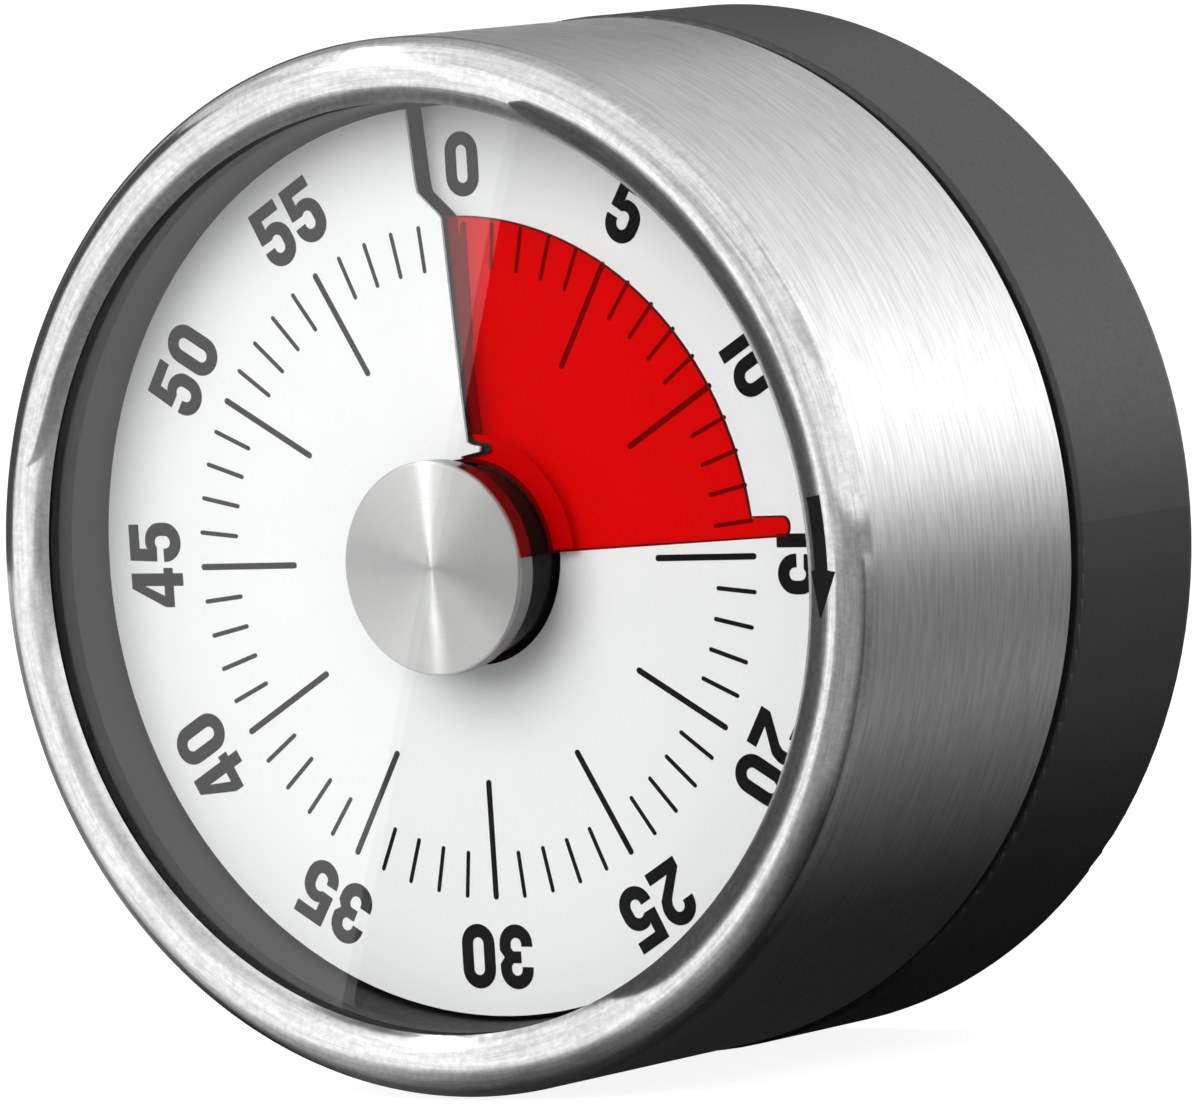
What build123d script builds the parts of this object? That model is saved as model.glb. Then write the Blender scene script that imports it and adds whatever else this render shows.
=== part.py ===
from build123d import *
import os
from math import acos, cos, degrees, hypot, pi, radians, sin, tan

# A wind-up visual countdown timer, as a drum on a magnet.
# +Z is up, the face looks toward -Y, and the origin is the centre of the rear magnet face.
# A height is the distance in front of the rear face, so height h is the plane y = -h.
# A clock angle is in degrees, clockwise from 12 o'clock, as seen from the front.

# ---- driving dimensions, in millimetres ----

# The stack is worked out from the inside: from the bell and the plates to the dial, the lens
# and the drum's front, and from the wheels' reach to the posts, the sleeve and the casing.

# casing
housing_step = 0.2
seam_height = 16.0
seam_gap = 1.0
housing_wall = 2.0
housing_floor = 2.5
housing_rear_round = 1.2
housing_seam_round = 0.4
steel_thickness = 0.6
drum_corner = 2.4
lip_width = 4.73
lip_drop = 0.7
liner_setback = 0.3

# face
dial_depth = 5.4
dial_lip_gap = 0.57
dial_thickness = 0.25
lens_thickness = 0.8
lens_edge = 1.6
surround_clearance = 0.3

# dial sheet, lifted on the left of its slit and pressed back on the right
left_lip_lift = 0.68
left_lift_start = 225.0
left_lift_power = 1.2
right_lip_drop = 1.42
right_drop_end = 120.0
dial_hole_gap = 0.4

# the slit runs from the rim past the tab, beside the red disc, and ends in a nib at the hub
slit_rim_side = -3.4
slit_tab_side = -2.5
slit_step_side = -2.35
slit_disc_side = -0.55
slit_start_side = -0.35
slit_middle = 12.0
slit_end_side = 0.35
slit_step_out = 1.8
slit_tab_out = 2.6
nib_length = 1.6
nib_root = 0.6
nib_height = 0.4

# red disc, a sheet wound like a screw thread
disc_thickness = 0.15
disc_pitch = 2.0
disc_lift_at_slit = 0.25
disc_sweep = 350.0
disc_gap = 0.15
shown_angle = 87.5
lead_inset = 2.2
tab_length = 3.2
tab_width = 1.55
tab_round = 0.65
tab_gap = 1.0

# hub
cap_radius = 7.85
cap_thickness = 1.95
cap_edge = 0.25
hub_radius = 7.2
arbor_radius = 1.5
arbor_flat = 0.4
arbor_tip_gap = 1.0
arbor_overhang = 0.5

# pan that carries the dial
pan_floor = 1.0
pan_floor_gap = 0.35
pan_rim_width = 3.8
pan_rim_inset = 0.1
pan_flange_gap = 0.8
boss_height = 3.05
pan_rim_notch_margin = 8.0
pan_pad_inset = 0.3
pan_arbor_gap = 0.4

# sleeve and liner, the bearing that the drum turns on
sleeve_wall = 1.6
sleeve_foot = 2.4
liner_wall = 1.65
liner_gap = 0.05
bearing_clearance = 0.1
axial_clearance = 0.15
liner_flange = 1.1
liner_flange_reach = 1.55
post_radius = 3.3
post_bite = 0.1
post_gap = 0.5
post_angles = (0, 120, 240)

# magnet
magnet_radius = 14.0
magnet_thickness = 3.0
magnet_cup_wall = 1.7

# bell and hammer
bell_radius = 19.0
bell_sheet = 0.7
bell_seat = 2.5
bell_depth = 6.2
bell_bulge = 4.0
bell_post_radius = 2.6
bell_screw_radius = 1.0
bell_screw_grip = 5.0
bell_head_radius = 2.4
bell_head_height = 1.3
hammer_offset = 5.6
hammer_angle = 300.0
hammer_shaft = 0.7
hammer_collar_radius = 1.4
hammer_collar_height = 0.8
hammer_boss_radius = 1.7
hammer_arm_thickness = 1.2
hammer_arm_lift = 1.6
hammer_head_radius = 1.5
hammer_head_length = 3.0
hammer_tip_radius = 1.05
hammer_reach = 6.2
hammer_gap = 0.3

# movement plates
plate_lift = 4.2
plate_thickness = 1.2
plate_space = 11.2
plate_edge = 0.62
pillar_inset = 2.3
pillar_radius = 1.6
pillar_angles = (87, 207, 327)
boss_inset = 2.8
boss_radius = 2.6
boss_angles = (27, 147, 267)

# screws
screw_radius = 0.8
screw_head_radius = 1.6
screw_head_height = 1.1
screw_slot_width = 0.45
screw_slot_depth = 0.4
screw_hole_gap = 0.1
head_gap = 0.1
case_screw_grip = 5.0
pan_screw_grip = 5.0
pillar_screw_grip = 4.0
boss_screw_grip = 3.6

# wheel train
main_teeth = 80
wheel_teeth = 60
pinion_teeth = 10
main_module = 0.4
second_module = 0.3
third_module = 0.25
tooth_thinning = 0.14
wheel_addendum = 0.6
wheel_dedendum = 1.25
pinion_addendum = 1.0
pinion_dedendum = 0.9
pressure_angle = 20.0
wheel_thickness = 0.7
main_wheel_thickness = 1.0
main_wheel_drop = 3.2
main_window_circle = 9.6
main_window_radius = 2.4
main_windows = 5
second_wheel_drop = 1.35
third_wheel_drop = 3.4
escape_wheel_drop = 2.4
window_circle_share = 0.55
window_size_share = 0.2
train_windows = 4
pinion_margin = 0.25
pivot_radius = 0.55
pivot_clearance = 0.05
fit_clearance = 0.01
staff_shoulder = 0.35
second_angle = 135.0
train_inset = 7.2
escape_inset = 6.3
escape_teeth = 15
escape_radius = 4.5
escape_tooth = 1.1
escape_back_share = 0.3
escape_root_share = 0.98
escape_window_circle = 2.25
escape_window_radius = 0.63
pallet_distance = 6.9
pallet_lift = 0.3
pallet_boss = 0.6
pallet_pin_radius = 0.25
pallet_pin_gap = 0.35
pallet_pin_spread = 20.0
pallet_pin_wall = 0.2
lever_tip_radius = 0.4
lever_tip_gap = 0.5
roller_radius = 1.0
balance_distance = 8.0
balance_lift = 1.0
balance_radius = 5.5
balance_rim = 1.1
balance_spoke = 1.1
balance_boss = 0.7
balance_thickness = 0.8
hairspring_lift = 0.8
hairspring_gap = 0.35
hairspring_step = 0.55
hairspring_turns = 5
hairspring_strip = 0.15
hairspring_depth = 0.6
stud_radius = 0.5

# mainspring, clutch and stop
spring_turns = 9
spring_inner = 2.6
spring_step = 1.05
spring_strip = 0.35
spring_width = 5.6
spring_lift = 0.6
spring_post_radius = 0.9
spring_post_gap = 0.4
spring_post_angle = 270.0
collar_radius = 3.2
collar_thickness = 1.2
clutch_thickness = 0.4
clutch_radius = 6.0
clutch_arm_width = 2.2
clutch_arms = 3
circlip_radius = 2.6
circlip_thickness = 0.5
circlip_mouth = 1.2
stop_angle = 300.0
stop_circle = 13.5
stop_pin_radius = 0.33
stop_overlap = 0.8
run_angle = 354.0

# ---- places worked out from the dimensions above ----

# heights, from the magnet to the drum's front
magnet_cup_front = magnet_thickness + magnet_cup_wall
bell_rear = magnet_cup_front + bell_seat
bell_front = bell_rear + bell_depth
hammer_arm_rear = bell_rear + hammer_arm_lift
back_plate_rear = bell_front + plate_lift
back_plate_front = back_plate_rear + plate_thickness
front_plate_rear = back_plate_front + plate_space
front_plate_front = front_plate_rear + plate_thickness
main_wheel_rear = front_plate_rear - main_wheel_drop
pan_rear = front_plate_front + boss_height
pan_top = pan_rear + pan_floor
hub_rear = pan_top + pan_floor_gap
dial_height = hub_rear + disc_pitch + disc_thickness - disc_lift_at_slit
lens_rear = dial_height + dial_depth
lens_front = lens_rear + lens_thickness
lip_height = lens_front + steel_thickness
drum_front = lip_height + lip_drop
drum_rear = seam_height + seam_gap
cap_rear = lens_rear - cap_thickness
liner_flange_front = pan_rear - axial_clearance
liner_flange_rear = liner_flange_front - liner_flange
sleeve_front = liner_flange_rear - axial_clearance
liner_rear = drum_rear + liner_setback
surround_rear = pan_top + surround_clearance

# radii, from the wheel train to the casing, and from the lip back to the red disc
second_distance = main_module * (main_teeth + pinion_teeth) / 2
third_distance = second_module * (wheel_teeth + pinion_teeth) / 2
escape_distance = third_module * (wheel_teeth + pinion_teeth) / 2
second_reach = second_module * (wheel_teeth / 2 + wheel_addendum)
plate_radius = second_distance + second_reach + plate_edge
pillar_circle = plate_radius - pillar_inset
boss_circle = plate_radius - boss_inset
train_circle = plate_radius - train_inset
escape_circle = plate_radius - escape_inset
post_circle = plate_radius + post_gap + post_radius
sleeve_bore = post_circle + post_radius - post_bite
sleeve_radius = sleeve_bore + sleeve_wall
liner_bore = sleeve_radius + bearing_clearance
liner_flange_bore = liner_bore - liner_flange_reach
liner_radius = liner_bore + liner_wall
drum_bore = liner_radius + liner_gap
drum_radius = drum_bore + steel_thickness
housing_radius = drum_radius + housing_step
lip_radius = drum_radius - lip_width
dial_radius = lip_radius - dial_lip_gap
dial_hole = hub_radius + dial_hole_gap
pan_flange = liner_bore - pan_flange_gap
pan_rim_outer = dial_radius - pan_rim_inset
pan_rim_inner = pan_rim_outer - pan_rim_width
disc_tip = pan_rim_inner - tab_gap
disc_radius = disc_tip - tab_length
disc_inner = hub_radius + disc_gap
hammer_circle = bell_radius + hammer_offset


def front_plane(height):
    """The plane at one height, seen from the front: x to the right, y up."""
    return Plane.XZ.offset(height)


def clock(radius, angle):
    """A point on the front plane, from its radius and clock angle."""
    return (radius * sin(radians(angle)), radius * cos(radians(angle)))


def in_space(radius, angle, height):
    """The same point in the part's own frame."""
    return (radius * sin(radians(angle)), -height, radius * cos(radians(angle)))


def arc_to(circle_a, circle_b, distance):
    """The clock angle between two circles' points that lie a set distance apart."""
    side = circle_a ** 2 + circle_b ** 2 - distance ** 2
    return degrees(acos(side / (2 * circle_a * circle_b)))


os.makedirs("parts", exist_ok=True)

# ---- rear housing: a black cup, with a cup for the magnet in its floor ----

magnet_cup_radius = magnet_radius + magnet_cup_wall
with BuildPart() as rear_housing:
    with BuildSketch(front_plane(0)):
        Circle(housing_radius)
    extrude(amount=seam_height)
    with BuildSketch(front_plane(housing_floor)):
        Circle(housing_radius - housing_wall)
    extrude(amount=seam_height, mode=Mode.SUBTRACT)
    with BuildSketch(front_plane(0)):
        Circle(magnet_cup_radius)
    extrude(amount=magnet_cup_front)
    with BuildSketch(front_plane(0)):
        Circle(magnet_radius + fit_clearance)
    extrude(amount=magnet_thickness, mode=Mode.SUBTRACT)
    with BuildSketch(front_plane(0)):
        with Locations(*[clock(post_circle, angle) for angle in post_angles]):
            Circle(screw_head_radius + head_gap)
    extrude(amount=screw_head_height + head_gap, mode=Mode.SUBTRACT)
    with BuildSketch(front_plane(0)):
        with Locations(*[clock(post_circle, angle) for angle in post_angles]):
            Circle(screw_radius + screw_hole_gap)
    extrude(amount=housing_floor, mode=Mode.SUBTRACT)
    rear_edge = rear_housing.edges().filter_by(GeomType.CIRCLE)
    rear_edge = rear_edge.filter_by(lambda edge: edge.radius > housing_radius - 0.01)
    fillet(rear_edge.sort_by(Axis.Y)[-1], radius=housing_rear_round)
    seam_edge = rear_housing.edges().filter_by(GeomType.CIRCLE)
    seam_edge = seam_edge.filter_by(lambda edge: edge.radius > housing_radius - 0.01)
    fillet(seam_edge.sort_by(Axis.Y)[0], radius=housing_seam_round)
rear_housing.part.label = "rear_housing"
export_step(rear_housing.part, "parts/rear_housing.step")

# ---- magnet: a ferrite disc flush with the rear face ----

with BuildPart() as magnet:
    with BuildSketch(front_plane(0)):
        Circle(magnet_radius)
    extrude(amount=magnet_thickness)
magnet.part.label = "magnet"
export_step(magnet.part, "parts/magnet.step")

# ---- bearing sleeve: a ring on a foot, with three posts for the screws ----

with BuildPart() as bearing_sleeve:
    with BuildSketch(front_plane(housing_floor)):
        Circle(housing_radius - housing_wall - fit_clearance)
        Circle(sleeve_bore, mode=Mode.SUBTRACT)
    extrude(amount=sleeve_foot)
    with BuildSketch(front_plane(housing_floor)):
        Circle(sleeve_radius)
        Circle(sleeve_bore, mode=Mode.SUBTRACT)
    extrude(amount=sleeve_front - housing_floor)
    with BuildSketch(front_plane(housing_floor)):
        with Locations(*[clock(post_circle, angle) for angle in post_angles]):
            Circle(post_radius)
    extrude(amount=sleeve_front - housing_floor)
    with BuildSketch(front_plane(housing_floor)):
        with Locations(*[clock(post_circle, angle) for angle in post_angles]):
            Circle(screw_radius + fit_clearance)
    extrude(amount=sleeve_front - housing_floor, mode=Mode.SUBTRACT)
bearing_sleeve.part.label = "bearing_sleeve"
export_step(bearing_sleeve.part, "parts/bearing_sleeve.step")


def screw_group(name, places, head_rear, length, forward):
    """Screws at several places: a slotted head, and a shank that points one way."""
    head_side = 1 if forward else -1
    with BuildPart() as screws:
        with BuildSketch(front_plane(head_rear)):
            with Locations(*places):
                Circle(screw_head_radius)
        extrude(amount=screw_head_height)
        shank_base = head_rear if forward else head_rear + screw_head_height
        with BuildSketch(front_plane(shank_base)):
            with Locations(*places):
                Circle(screw_radius)
        extrude(amount=-head_side * length)
        slot_base = head_rear + screw_head_height if forward else head_rear
        with BuildSketch(front_plane(slot_base)):
            with Locations(*places):
                Rectangle(3 * screw_head_radius, screw_slot_width)
        extrude(amount=-head_side * screw_slot_depth, mode=Mode.SUBTRACT)
    screws.part.label = name
    export_step(screws.part, "parts/" + name + ".step")
    return screws.part


# ---- case screws: from the rear, through the floor into the sleeve's posts ----

post_places = [clock(post_circle, angle) for angle in post_angles]
screw_group("case_screws", post_places, head_gap, case_screw_grip, False)

# ---- steel drum: one drawn shell, with a rolled corner and an inward lip ----

with BuildPart() as steel_drum:
    with BuildSketch(Plane.XY):
        with BuildLine():
            side = Line((drum_radius, -drum_rear), (drum_radius, drum_corner - drum_front))
            corner = RadiusArc(
                side @ 1, (drum_radius - drum_corner, -drum_front), drum_corner
            )
            slope = Line(corner @ 1, (lip_radius, -lip_height))
            edge = Line(slope @ 1, (lip_radius, -lens_front))
            inner_corner = drum_corner - steel_thickness
            slope_back = Line(edge @ 1, (drum_bore - inner_corner, steel_thickness - drum_front))
            corner_back = RadiusArc(
                slope_back @ 1, (drum_bore, drum_corner - drum_front), -inner_corner
            )
            side_back = Line(corner_back @ 1, (drum_bore, -drum_rear))
            Line(side_back @ 1, side @ 0)
        make_face()
    revolve(axis=Axis.Y)
steel_drum.part.label = "steel_drum"
export_step(steel_drum.part, "parts/steel_drum.step")

# ---- drum liner: the black sleeve inside the shell, which turns on the bearing sleeve ----

with BuildPart() as drum_liner:
    with BuildSketch(front_plane(liner_rear)):
        Circle(liner_radius)
        Circle(liner_bore, mode=Mode.SUBTRACT)
    extrude(amount=surround_rear - liner_rear)
    with BuildSketch(front_plane(liner_flange_rear)):
        Circle(liner_radius)
        Circle(liner_flange_bore, mode=Mode.SUBTRACT)
    extrude(amount=liner_flange)
drum_liner.part.label = "drum_liner"
export_step(drum_liner.part, "parts/drum_liner.step")

# ---- dial surround: the dark wall between the dial and the lens ----

surround_bore = dial_radius + surround_clearance
with BuildPart() as dial_surround:
    with BuildSketch(Plane.XY):
        with BuildLine():
            Polyline(
                (surround_bore, -surround_rear),
                (liner_radius, -surround_rear),
                (liner_radius, -lens_rear),
                (lip_radius, -lens_rear),
                close=True,
            )
        make_face()
    revolve(axis=Axis.Y)
dial_surround.part.label = "dial_surround"
export_step(dial_surround.part, "parts/dial_surround.step")

# ---- lens: a clear disc held between the lip and the surround ----

with BuildPart() as lens:
    with BuildSketch(front_plane(lens_rear)):
        Circle(lip_radius + lens_edge)
    extrude(amount=lens_thickness)
lens.part.label = "lens"
export_step(lens.part, "parts/lens.step")

# ---- dial pan: the black tray under the dial, screwed to the sleeve's posts ----

seat_drop = screw_head_height + head_gap
pad_radius = post_radius - pan_pad_inset
with BuildPart() as dial_pan:
    with BuildSketch(front_plane(pan_rear)):
        Circle(pan_flange)
    extrude(amount=pan_floor)
    with BuildSketch(front_plane(pan_top)):
        Circle(pan_rim_outer)
        Circle(pan_rim_inner, mode=Mode.SUBTRACT)
    extrude(amount=dial_height - dial_thickness - pan_top)
    with BuildSketch(front_plane(sleeve_front)):
        with Locations(*post_places):
            Circle(pad_radius)
    extrude(amount=pan_rear - sleeve_front)
    with BuildSketch(front_plane(front_plate_front)):
        with Locations(*[clock(boss_circle, angle) for angle in boss_angles]):
            Circle(boss_radius)
    extrude(amount=pan_rear - front_plate_front)
    # the rim is cut away where the right lip of the dial is pressed back
    with BuildSketch(front_plane(pan_top)):
        with BuildLine():
            notch_start = clock(pan_rim_inner - 1, -pan_rim_notch_margin)
            notch_middle = clock(pan_rim_inner - 1, right_drop_end / 2)
            notch_end = clock(pan_rim_inner - 1, right_drop_end + pan_rim_notch_margin)
            outer_end = clock(pan_flange, right_drop_end + pan_rim_notch_margin)
            outer_middle = clock(pan_flange, right_drop_end / 2)
            outer_start = clock(pan_flange, -pan_rim_notch_margin)
            ThreePointArc(notch_start, notch_middle, notch_end)
            Line(notch_end, outer_end)
            ThreePointArc(outer_end, outer_middle, outer_start)
            Line(outer_start, notch_start)
        make_face()
    extrude(amount=dial_height - pan_top, mode=Mode.SUBTRACT)
    with BuildSketch(front_plane(pan_top)):
        with Locations(*post_places):
            Circle(screw_head_radius + head_gap)
    extrude(amount=-seat_drop, mode=Mode.SUBTRACT)
    with BuildSketch(front_plane(pan_top)):
        with Locations(*post_places):
            Circle(screw_head_radius + head_gap)
    extrude(amount=dial_height - pan_top, mode=Mode.SUBTRACT)
    with BuildSketch(front_plane(sleeve_front)):
        with Locations(*post_places):
            Circle(screw_radius + screw_hole_gap)
    extrude(amount=pan_top - sleeve_front, mode=Mode.SUBTRACT)
    with BuildSketch(front_plane(front_plate_front)):
        with Locations(*[clock(boss_circle, angle) for angle in boss_angles]):
            Circle(screw_radius + fit_clearance)
    extrude(amount=pan_rear - front_plate_front, mode=Mode.SUBTRACT)
    with BuildSketch(front_plane(pan_rear)):
        Circle(arbor_radius + pan_arbor_gap)
    extrude(amount=pan_floor, mode=Mode.SUBTRACT)
dial_pan.part.label = "dial_pan"
export_step(dial_pan.part, "parts/dial_pan.step")

# ---- pan screws: from the front, through the pan into the sleeve's posts ----

screw_group("pan_screws", post_places, pan_top - seat_drop, pan_screw_grip, True)

# ---- dial: one plastic sheet, cut along a slit at 12 o'clock ----


def dial_rise(angle):
    """How far the dial's front stands in front of its plane, by clock angle."""
    if angle < 0:
        return -right_lip_drop
    if angle < right_drop_end:
        return -right_lip_drop * (1 + cos(pi * angle / right_drop_end)) / 2
    if angle < left_lift_start:
        return 0.0
    share = (angle - left_lift_start) / (360 - left_lift_start)
    return left_lip_lift * share ** left_lift_power


def bent_sheet(inner, outer, start, end, rise, thickness, steps):
    """A bent ring sector: a sheet ruled between two curves that rise with the angle."""
    angles = [start + (end - start) * step / steps for step in range(steps + 1)]
    with BuildLine() as inner_line:
        Spline(*[in_space(inner, angle, dial_height + rise(angle)) for angle in angles])
    with BuildLine() as outer_line:
        Spline(*[in_space(outer, angle, dial_height + rise(angle)) for angle in angles])
    face = Face.make_surface_from_curves(inner_line.edge(), outer_line.edge())
    with BuildPart() as sheet:
        extrude(face, amount=thickness, dir=(0, 1, 0))
    return sheet.part


sheet_steps = 24

# the two halves are cut from sheets that run past the rim, the hole and the slit
cut_margin = 1.0
slit_lead = 12.0
cut_radius = dial_radius + 6 * cut_margin
sheet_inner = dial_hole - cut_margin
sheet_outer = dial_radius + cut_margin
slit_points = [
    (slit_rim_side, cut_radius),
    (slit_tab_side, disc_radius + slit_tab_out),
    (slit_step_side, disc_radius + slit_step_out),
    (slit_disc_side, disc_radius + disc_gap),
    (slit_start_side, disc_radius - disc_gap),
    (slit_end_side, slit_middle),
]
nib_tip = dial_hole + 2 * nib_height
nib_points = [
    (nib_root, nib_tip + nib_height),
    (nib_root + nib_height, nib_tip + nib_height / 2),
    (nib_root + nib_length, nib_tip),
    (nib_root + nib_length, nib_tip - nib_height / 2),
    (0.0, dial_hole + nib_height / 2),
    (0.0, sheet_inner),
]
with BuildPart() as dial:
    add(
        bent_sheet(
            sheet_inner, sheet_outer, -slit_lead, right_drop_end, dial_rise,
            dial_thickness, sheet_steps,
        )
    )
    with BuildSketch(front_plane(dial_height - right_lip_drop - cut_margin)):
        with BuildLine():
            right_rim = clock(cut_radius, right_drop_end)
            Polyline(*slit_points, *nib_points, (0, 0), right_rim)
            ThreePointArc(right_rim, clock(cut_radius, right_drop_end / 2), slit_points[0])
        make_face()
    extrude(amount=right_lip_drop + 2 * cut_margin, mode=Mode.INTERSECT)
right_part = dial.part
with BuildPart() as dial_left:
    add(
        bent_sheet(
            sheet_inner, sheet_outer, left_lift_start, 360 + slit_lead, dial_rise,
            dial_thickness, sheet_steps,
        )
    )
    with BuildSketch(front_plane(dial_height - cut_margin)):
        with BuildLine():
            left_rim = clock(cut_radius, left_lift_start)
            Polyline(*slit_points, *nib_points, (0, 0), left_rim)
            left_middle = clock(cut_radius, (left_lift_start + 360 - slit_lead) / 2)
            ThreePointArc(left_rim, left_middle, slit_points[0])
        make_face()
    extrude(amount=left_lip_lift + 3 * cut_margin, mode=Mode.INTERSECT)
with BuildPart() as dial:
    add(right_part)
    add(dial_left.part)
    with BuildSketch(front_plane(dial_height)):
        with BuildLine():
            flat_start = clock(sheet_outer, right_drop_end)
            flat_end = clock(sheet_outer, left_lift_start)
            Line((0, 0), flat_start)
            flat_middle = clock(sheet_outer, (right_drop_end + left_lift_start) / 2)
            ThreePointArc(flat_start, flat_middle, flat_end)
            Line(flat_end, (0, 0))
        make_face()
    extrude(amount=-dial_thickness)
    with BuildSketch(front_plane(dial_height - right_lip_drop - cut_margin)):
        Circle(dial_radius)
        Circle(dial_hole, mode=Mode.SUBTRACT)
    extrude(amount=right_lip_drop + left_lip_lift + 3 * cut_margin, mode=Mode.INTERSECT)
dial.part.label = "dial"
export_step(dial.part, "parts/dial.step")

# ---- red disc: a thin sheet that comes out through the slit as time is wound on ----


def disc_rise(angle):
    """How far the disc's front stands in front of the dial's plane, by clock angle."""
    return disc_lift_at_slit + disc_pitch * angle / 360


disc_steps = 36
with BuildPart() as red_disc:
    add(
        bent_sheet(
            disc_inner - cut_margin, disc_tip + cut_margin, shown_angle - disc_sweep,
            shown_angle, disc_rise, disc_thickness, disc_steps,
        )
    )
    with BuildSketch(front_plane(pan_top - cut_margin)):
        Circle(disc_radius)
        with BuildLine():
            # the tab's lower side runs on from the disc's leading edge
            tab_low = clock(disc_tip, shown_angle)
            tab_root = clock(disc_radius - cut_margin, shown_angle)
            tab_outline = FilletPolyline(
                tab_root,
                tab_low,
                (tab_low[0], tab_low[1] + tab_width),
                (tab_root[0], tab_root[1] + tab_width),
                radius=tab_round,
            )
            Line(tab_outline @ 1, tab_outline @ 0)
        make_face()
        Circle(disc_inner, mode=Mode.SUBTRACT)
        with BuildLine():
            # the leading edge is a straight cut that passes just above the centre
            cut_inner = disc_inner - cut_margin
            cut_outer = disc_tip + cut_margin
            Polyline(
                clock(cut_inner, shown_angle - lead_inset),
                clock(cut_outer, shown_angle),
                clock(cut_outer, shown_angle + lead_inset),
                clock(cut_inner, shown_angle + lead_inset),
                close=True,
            )
        make_face(mode=Mode.SUBTRACT)
    extrude(amount=dial_height - pan_top + disc_pitch + 2 * cut_margin, mode=Mode.INTERSECT)
red_disc.part.label = "red_disc"
export_step(red_disc.part, "parts/red_disc.step")

# ---- hub: a turned steel cap under the lens, on a black plastic core ----

with BuildPart() as hub_cap:
    with BuildSketch(front_plane(cap_rear)):
        Circle(cap_radius)
    extrude(amount=cap_thickness)
    chamfer(hub_cap.edges().filter_by(GeomType.CIRCLE), length=cap_edge)
hub_cap.part.label = "hub_cap"
export_step(hub_cap.part, "parts/hub_cap.step")

arbor_front = cap_rear - arbor_tip_gap
flat_line = arbor_radius - arbor_flat


def flatted_circle(radius):
    """A round section with a drive flat, at the same place on the shaft and in its bore."""
    Circle(radius)
    with Locations((flat_line + radius - arbor_radius + radius, 0)):
        Rectangle(2 * radius, 4 * radius, mode=Mode.SUBTRACT)


with BuildPart() as hub_core:
    with BuildSketch(front_plane(hub_rear)):
        Circle(hub_radius)
    extrude(amount=cap_rear - hub_rear)
    with BuildSketch(front_plane(hub_rear)):
        flatted_circle(arbor_radius + fit_clearance)
    extrude(amount=arbor_front - hub_rear, mode=Mode.SUBTRACT)
hub_core.part.label = "hub_core"
export_step(hub_core.part, "parts/hub_core.step")

# ---- arbor: the central shaft, from the back plate to the hub ----

arbor_rear = back_plate_rear - arbor_overhang
with BuildPart() as arbor:
    with BuildSketch(front_plane(arbor_rear)):
        Circle(arbor_radius)
    extrude(amount=hub_rear - arbor_rear)
    with BuildSketch(front_plane(hub_rear)):
        flatted_circle(arbor_radius)
    extrude(amount=arbor_front - hub_rear)
arbor.part.label = "arbor"
export_step(arbor.part, "parts/arbor.step")

# ---- where the train's shafts stand ----

third_angle = second_angle + arc_to(second_distance, train_circle, third_distance)
escape_angle = third_angle + arc_to(train_circle, escape_circle, escape_distance)
pallet_angle = escape_angle + arc_to(escape_circle, escape_circle, pallet_distance)
balance_angle = pallet_angle + arc_to(escape_circle, escape_circle, balance_distance)
second_place = clock(second_distance, second_angle)
third_place = clock(train_circle, third_angle)
escape_place = clock(escape_circle, escape_angle)
pallet_place = clock(escape_circle, pallet_angle)
balance_place = clock(escape_circle, balance_angle)
hammer_place = clock(hammer_circle, hammer_angle)
pivot_places = [second_place, third_place, escape_place, pallet_place, balance_place]

# ---- plates of the movement ----

pillar_places = [clock(pillar_circle, angle) for angle in pillar_angles]
boss_places = [clock(boss_circle, angle) for angle in boss_angles]


def plate(name, rear, arbor_hole, other_holes):
    """A round brass plate with the train's pivot holes."""
    with BuildPart() as disc:
        with BuildSketch(front_plane(rear)):
            Circle(plate_radius)
            Circle(arbor_hole, mode=Mode.SUBTRACT)
            with Locations(*pivot_places):
                Circle(pivot_radius + pivot_clearance, mode=Mode.SUBTRACT)
            with Locations(*pillar_places):
                Circle(screw_radius + screw_hole_gap, mode=Mode.SUBTRACT)
            for place, radius in other_holes:
                with Locations(place):
                    Circle(radius, mode=Mode.SUBTRACT)
        extrude(amount=plate_thickness)
    disc.part.label = name
    export_step(disc.part, "parts/" + name + ".step")
    return disc.part


spring_outer = spring_inner + spring_turns * spring_step
spring_post_circle = spring_outer + spring_post_radius + spring_post_gap
spring_post_place = clock(spring_post_circle, spring_post_angle)
run_margin = (360 - run_angle) / 2
stop_place = clock(stop_circle, stop_angle)
plate(
    "back_plate",
    back_plate_rear,
    arbor_radius + pivot_clearance,
    [
        (spring_post_place, spring_post_radius + fit_clearance),
        (hammer_place, hammer_shaft + pivot_clearance),
    ],
)
plate(
    "front_plate",
    front_plate_rear,
    arbor_radius + pivot_clearance,
    [(place, screw_radius + screw_hole_gap) for place in boss_places]
    + [(stop_place, stop_pin_radius + fit_clearance)],
)

# ---- pillars between the plates, with a screw at each end ----

with BuildPart() as plate_pillars:
    with BuildSketch(front_plane(back_plate_front)):
        with Locations(*pillar_places):
            Circle(pillar_radius)
            Circle(screw_radius + fit_clearance, mode=Mode.SUBTRACT)
    extrude(amount=plate_space)
plate_pillars.part.label = "plate_pillars"
export_step(plate_pillars.part, "parts/plate_pillars.step")

rear_head = back_plate_rear - screw_head_height
screw_group("pillar_rear_screws", pillar_places, rear_head, pillar_screw_grip, False)
screw_group("pillar_front_screws", pillar_places, front_plate_front, pillar_screw_grip, True)

# ---- plate screws: hold the movement to the bosses under the pan ----

boss_head = front_plate_rear - screw_head_height
screw_group("plate_screws", boss_places, boss_head, boss_screw_grip, False)


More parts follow.
